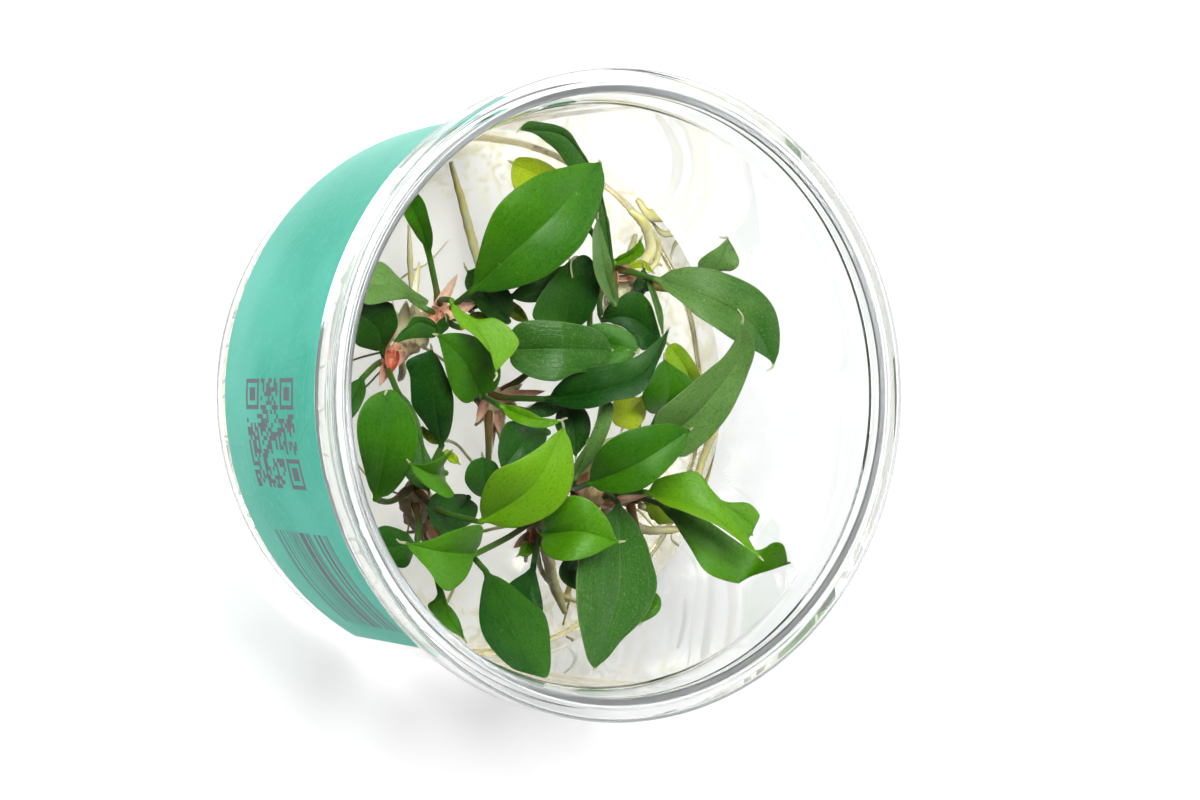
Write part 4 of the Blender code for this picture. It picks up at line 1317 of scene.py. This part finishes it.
def make_crowns():
    looks = (
        plant_look("rhizome_look", (0.86, 0.62, 0.28), (0.94, 0.80, 0.48), (0.62, 0.30, 0.12), 0.55, 0.2),
        plant_look("salmon_look", (1.00, 0.48, 0.30), (1.00, 0.66, 0.46), (0.95, 0.22, 0.12), 0.45, 0.25),
        plant_look("beige_look", (0.98, 0.88, 0.46), (1.00, 0.96, 0.66), (0.84, 0.74, 0.24), 0.45, 0.25),
        plant_look("red_look", (0.70, 0.090, 0.035), (0.92, 0.30, 0.16), (0.42, 0.025, 0.012), 0.35, 0.2),
    )
    yellows = (1.00, 0.90, 0.34), (1.00, 0.95, 0.55), (0.95, 0.80, 0.20)
    root_looks = (plant_look("root_look", *yellows, 0.45, 0.3),)
    for crown, (_, _, ends) in CROWNS.items():
        bm = bmesh.new()
        tube(bm, crown_body(crown), [body_radius(crown, k / 4) for k in range(5)], *BODY_TUBE)
        for foot, tip, width, mark in SHOWN_SHEATHS[crown]:
            bract(bm, seen(*foot), seen(*tip), width * MM, mark)
        for number in LEAVES:
            if LEAVES[number][0] == crown:
                stalk_sheath(bm, number)
        piece(f"crown_{crown}_stem", bm, looks, (f"crown_{crown}",))
        roots = bmesh.new()
        draw = random.Random(SEED + ord(crown))
        for *end, radius in ends:
            tube(roots, root_route(crown, end), tapered(radius * MM, MAIN_ROOT_TAPER), *MAIN_ROOT_TUBE)
        for _ in range(FINE_ROOTS):
            fine_root(roots, crown, draw)
        piece(f"crown_{crown}_roots", roots, root_looks, ())
    shown = bmesh.new()
    for points, radius in SHOWN_ROOTS:
        route = [in_reach(seen(*point)) for point in points]
        tube(shown, route, tapered(radius * MM, LONG_ROOT_TAPER), *LONG_ROOT_TUBE)
    piece("long_roots", shown, root_looks, ())


def tapered(radius, shares):
    return [radius * share for share in shares]


def stalk_sheath(bm, number):
    """The sheath round the foot of a leaf's stalk, where the stalk is long enough for one."""
    foot, _, base = stalk = Leaf(number).petiole
    reach = (base - foot).length
    length = min(0.5 * reach, STALK_SHEATH_MOST)
    if length < STALK_SHEATH_LEAST:
        return
    tip = smooth_route(stalk, length / reach)
    bract(bm, foot.lerp(tip, -0.15), tip, STALK_SHEATH_WIDTH, 1 + int(number) % 2, wrap=260, flare=0.3 * MM)


def fine_root(bm, crown, draw):
    """A thin root that wanders down through the gel."""
    here = smooth_route(crown_body(crown), draw.uniform(0.2, 0.9))
    route = [here]
    angle = draw.uniform(0, 2 * math.pi)
    depth = here.z
    for _ in range(FINE_ROOT_STEPS):
        angle += draw.uniform(-0.7, 0.7)
        depth = max(depth - (depth - 4 * MM) * 0.55, 3.6 * MM)
        step = draw.uniform(3.0, 6.5) * MM
        here = in_reach(Vector((here.x + step * math.cos(angle), here.y + step * math.sin(angle), depth)))
        route.append(here)
    tube(bm, route, tapered(draw.uniform(0.16, 0.34) * MM, FINE_ROOT_TAPER), *FINE_ROOT_TUBE)


# Droplets on the leaves: place along the blade, place across it from -1 to 1, and size in mm.
DROPLETS = {
    "01": (
        (0.62, -0.12, 0.9), (0.78, 0.1, 0.9), (0.63, 0.3, 0.7), (0.2, -0.2, 0.6), (0.22, -0.05, 0.7),
        (0.42, 0.55, 0.6), (0.46, -0.5, 0.35),
    ),
    "02": ((0.55, 0.1, 0.8),),
    "11": ((0.55, 0.35, 0.5), (0.42, 0.4, 0.4), (0.3, 0.1, 0.35)),
    "24": ((0.3, 0.0, 0.7), (0.34, 0.25, 0.6)),
    "25": ((0.3, -0.1, 0.7), (0.42, -0.3, 0.5), (0.36, 0.2, 0.8), (0.6, 0.3, 0.4)),
    "41": (
        (0.12, 0.1, 0.6), (0.3, 0.65, 0.7), (0.36, -0.5, 0.5), (0.46, 0.4, 0.6), (0.55, 0.35, 0.45),
        (0.28, 0.75, 0.5),
    ),
    "43": ((0.5, 0.4, 0.4), (0.62, 0.1, 0.35), (0.35, -0.3, 0.3)),
}
DROPLET_RADIUS = 0.6 * MM
DROPLET_HEIGHT = 0.7


def make_droplets():
    bm = bmesh.new()
    for number, spots in DROPLETS.items():
        leaf = Leaf(number)
        for place, share, size in spots:
            spot, out = leaf.spot(place, share)
            turn = out.to_track_quat("Z", "Y").to_matrix().to_4x4()
            matrix = Matrix.Translation(spot) @ turn @ Matrix.Diagonal((1, 1, DROPLET_HEIGHT, 1))
            radius = size * DROPLET_RADIUS
            bmesh.ops.create_uvsphere(bm, u_segments=20, v_segments=12, radius=radius, matrix=matrix)
    piece("droplets", bm, (water_look(),), (), clear=True)


FLOOR_SIZE = 3.0
FLOOR_DROP = -0.05 * MM
FLOOR_GREY = (0.86, 0.86, 0.86)
# Painted light: the floor glows, most of all under the tub, where it is seen through the clear plastic.
# Where the floor's glow fades, as distances from the tub's axis, and its strength before and after.
FLOOR_GLOW = (0.040, 0.056, 0.58, 0.10)
# How the surroundings fade towards the zenith, and round the place that the lid mirrors to the eye.
ZENITH_FADE = (0.22, 0.80, 1.0, 0.16)
MIRROR_FADE = (0.89, 0.975, 1.0, 0.15)
# Lights: name, place, width, height and power.
LIGHTS = (
    ("key", Vector((-0.22, -0.14, 0.60)), 0.30, 0.30, 4.0),
    ("side", Vector((-0.10, 0.60, 0.45)), 0.24, 0.40, 1.6),
    ("glint", Vector((-0.16, -0.34, 0.50)), 0.05, 0.05, 0.35),
)
LIGHT_TARGET = Vector((0, 0, 0.03))


def make_floor():
    n = Look("floor_look")
    # Painted light: a glow that is strongest under the tub.
    glow = n.ramp(n.radius(), *FLOOR_GLOW)
    n.set(Base_Color=FLOOR_GREY, Roughness=0.6, Emission_Color=(1, 1, 1), Emission_Strength=glow)
    n.material.cycles.emission_sampling = "NONE"
    bm = bmesh.new()
    matrix = Matrix.Translation((0, 0, FLOOR_DROP))
    bmesh.ops.create_grid(bm, x_segments=1, y_segments=1, size=FLOOR_SIZE, matrix=matrix)
    placed("floor", mesh_from("floor", bm, (n.material,)))


def make_world():
    world = bpy.data.worlds.new("studio")
    world.use_nodes = True
    bpy.context.scene.world = world
    n = Nodes(world.node_tree)
    where = n.add("ShaderNodeTexCoord").outputs["Generated"]
    mirrored = n.add("ShaderNodeVectorMath", operation="DOT_PRODUCT")
    n.feed(mirrored, where, (0, math.sin(SIGHT_TILT), math.cos(SIGHT_TILT)))
    fades = n.ramp(n.split(where)[2], *ZENITH_FADE), n.ramp(mirrored.outputs["Value"], *MIRROR_FADE)
    n.fit(n.tree.nodes["Background"], Color=(1, 1, 1), Strength=n.times(*fades))


def make_lights():
    for name, spot, width, height, power in LIGHTS:
        light = bpy.data.lights.new(name, "AREA")
        light.shape = "RECTANGLE"
        light.size = width
        light.size_y = height
        light.energy = power
        obj = placed(name, light)
        obj.location = spot
        obj.rotation_euler = (spot - LIGHT_TARGET).to_track_quat("Z", "Y").to_euler()


def make_camera():
    camera = bpy.data.cameras.new("camera")
    camera.sensor_width = SENSOR
    camera.lens = PIXELS_PER_UNIT_SLOPE * SENSOR / FRAME_WIDTH
    camera.shift_x = (FRAME_WIDTH / 2 - SEEN_CENTRE_X) / FRAME_WIDTH
    camera.shift_y = (SEEN_CENTRE_Y - FRAME_HEIGHT / 2) / FRAME_WIDTH
    camera.clip_start = 0.01
    obj = placed("camera", camera)
    turn = Matrix((PICTURE_RIGHT, PICTURE_UP, TO_EYE)).transposed().to_4x4()
    obj.matrix_world = Matrix.Translation(SIGHT_TARGET + TO_EYE * SIGHT_DISTANCE) @ turn
    bpy.context.scene.camera = obj


make_camera()
make_floor()
make_world()
make_lights()
make_tub()
make_lid()
make_label()
make_gel()
make_leaves()
make_crowns()
make_droplets()
bpy.context.scene.view_settings.view_transform = "Standard"
# Light finds its way along the rims only with many bounces. The clear pieces cast no shadow, so light that
# they would focus is left out too.
cycles = bpy.context.scene.cycles
cycles.max_bounces = cycles.transmission_bounces = cycles.glossy_bounces = BOUNCES
cycles.diffuse_bounces = 3
cycles.caustics_refractive = False
cycles.caustics_reflective = False
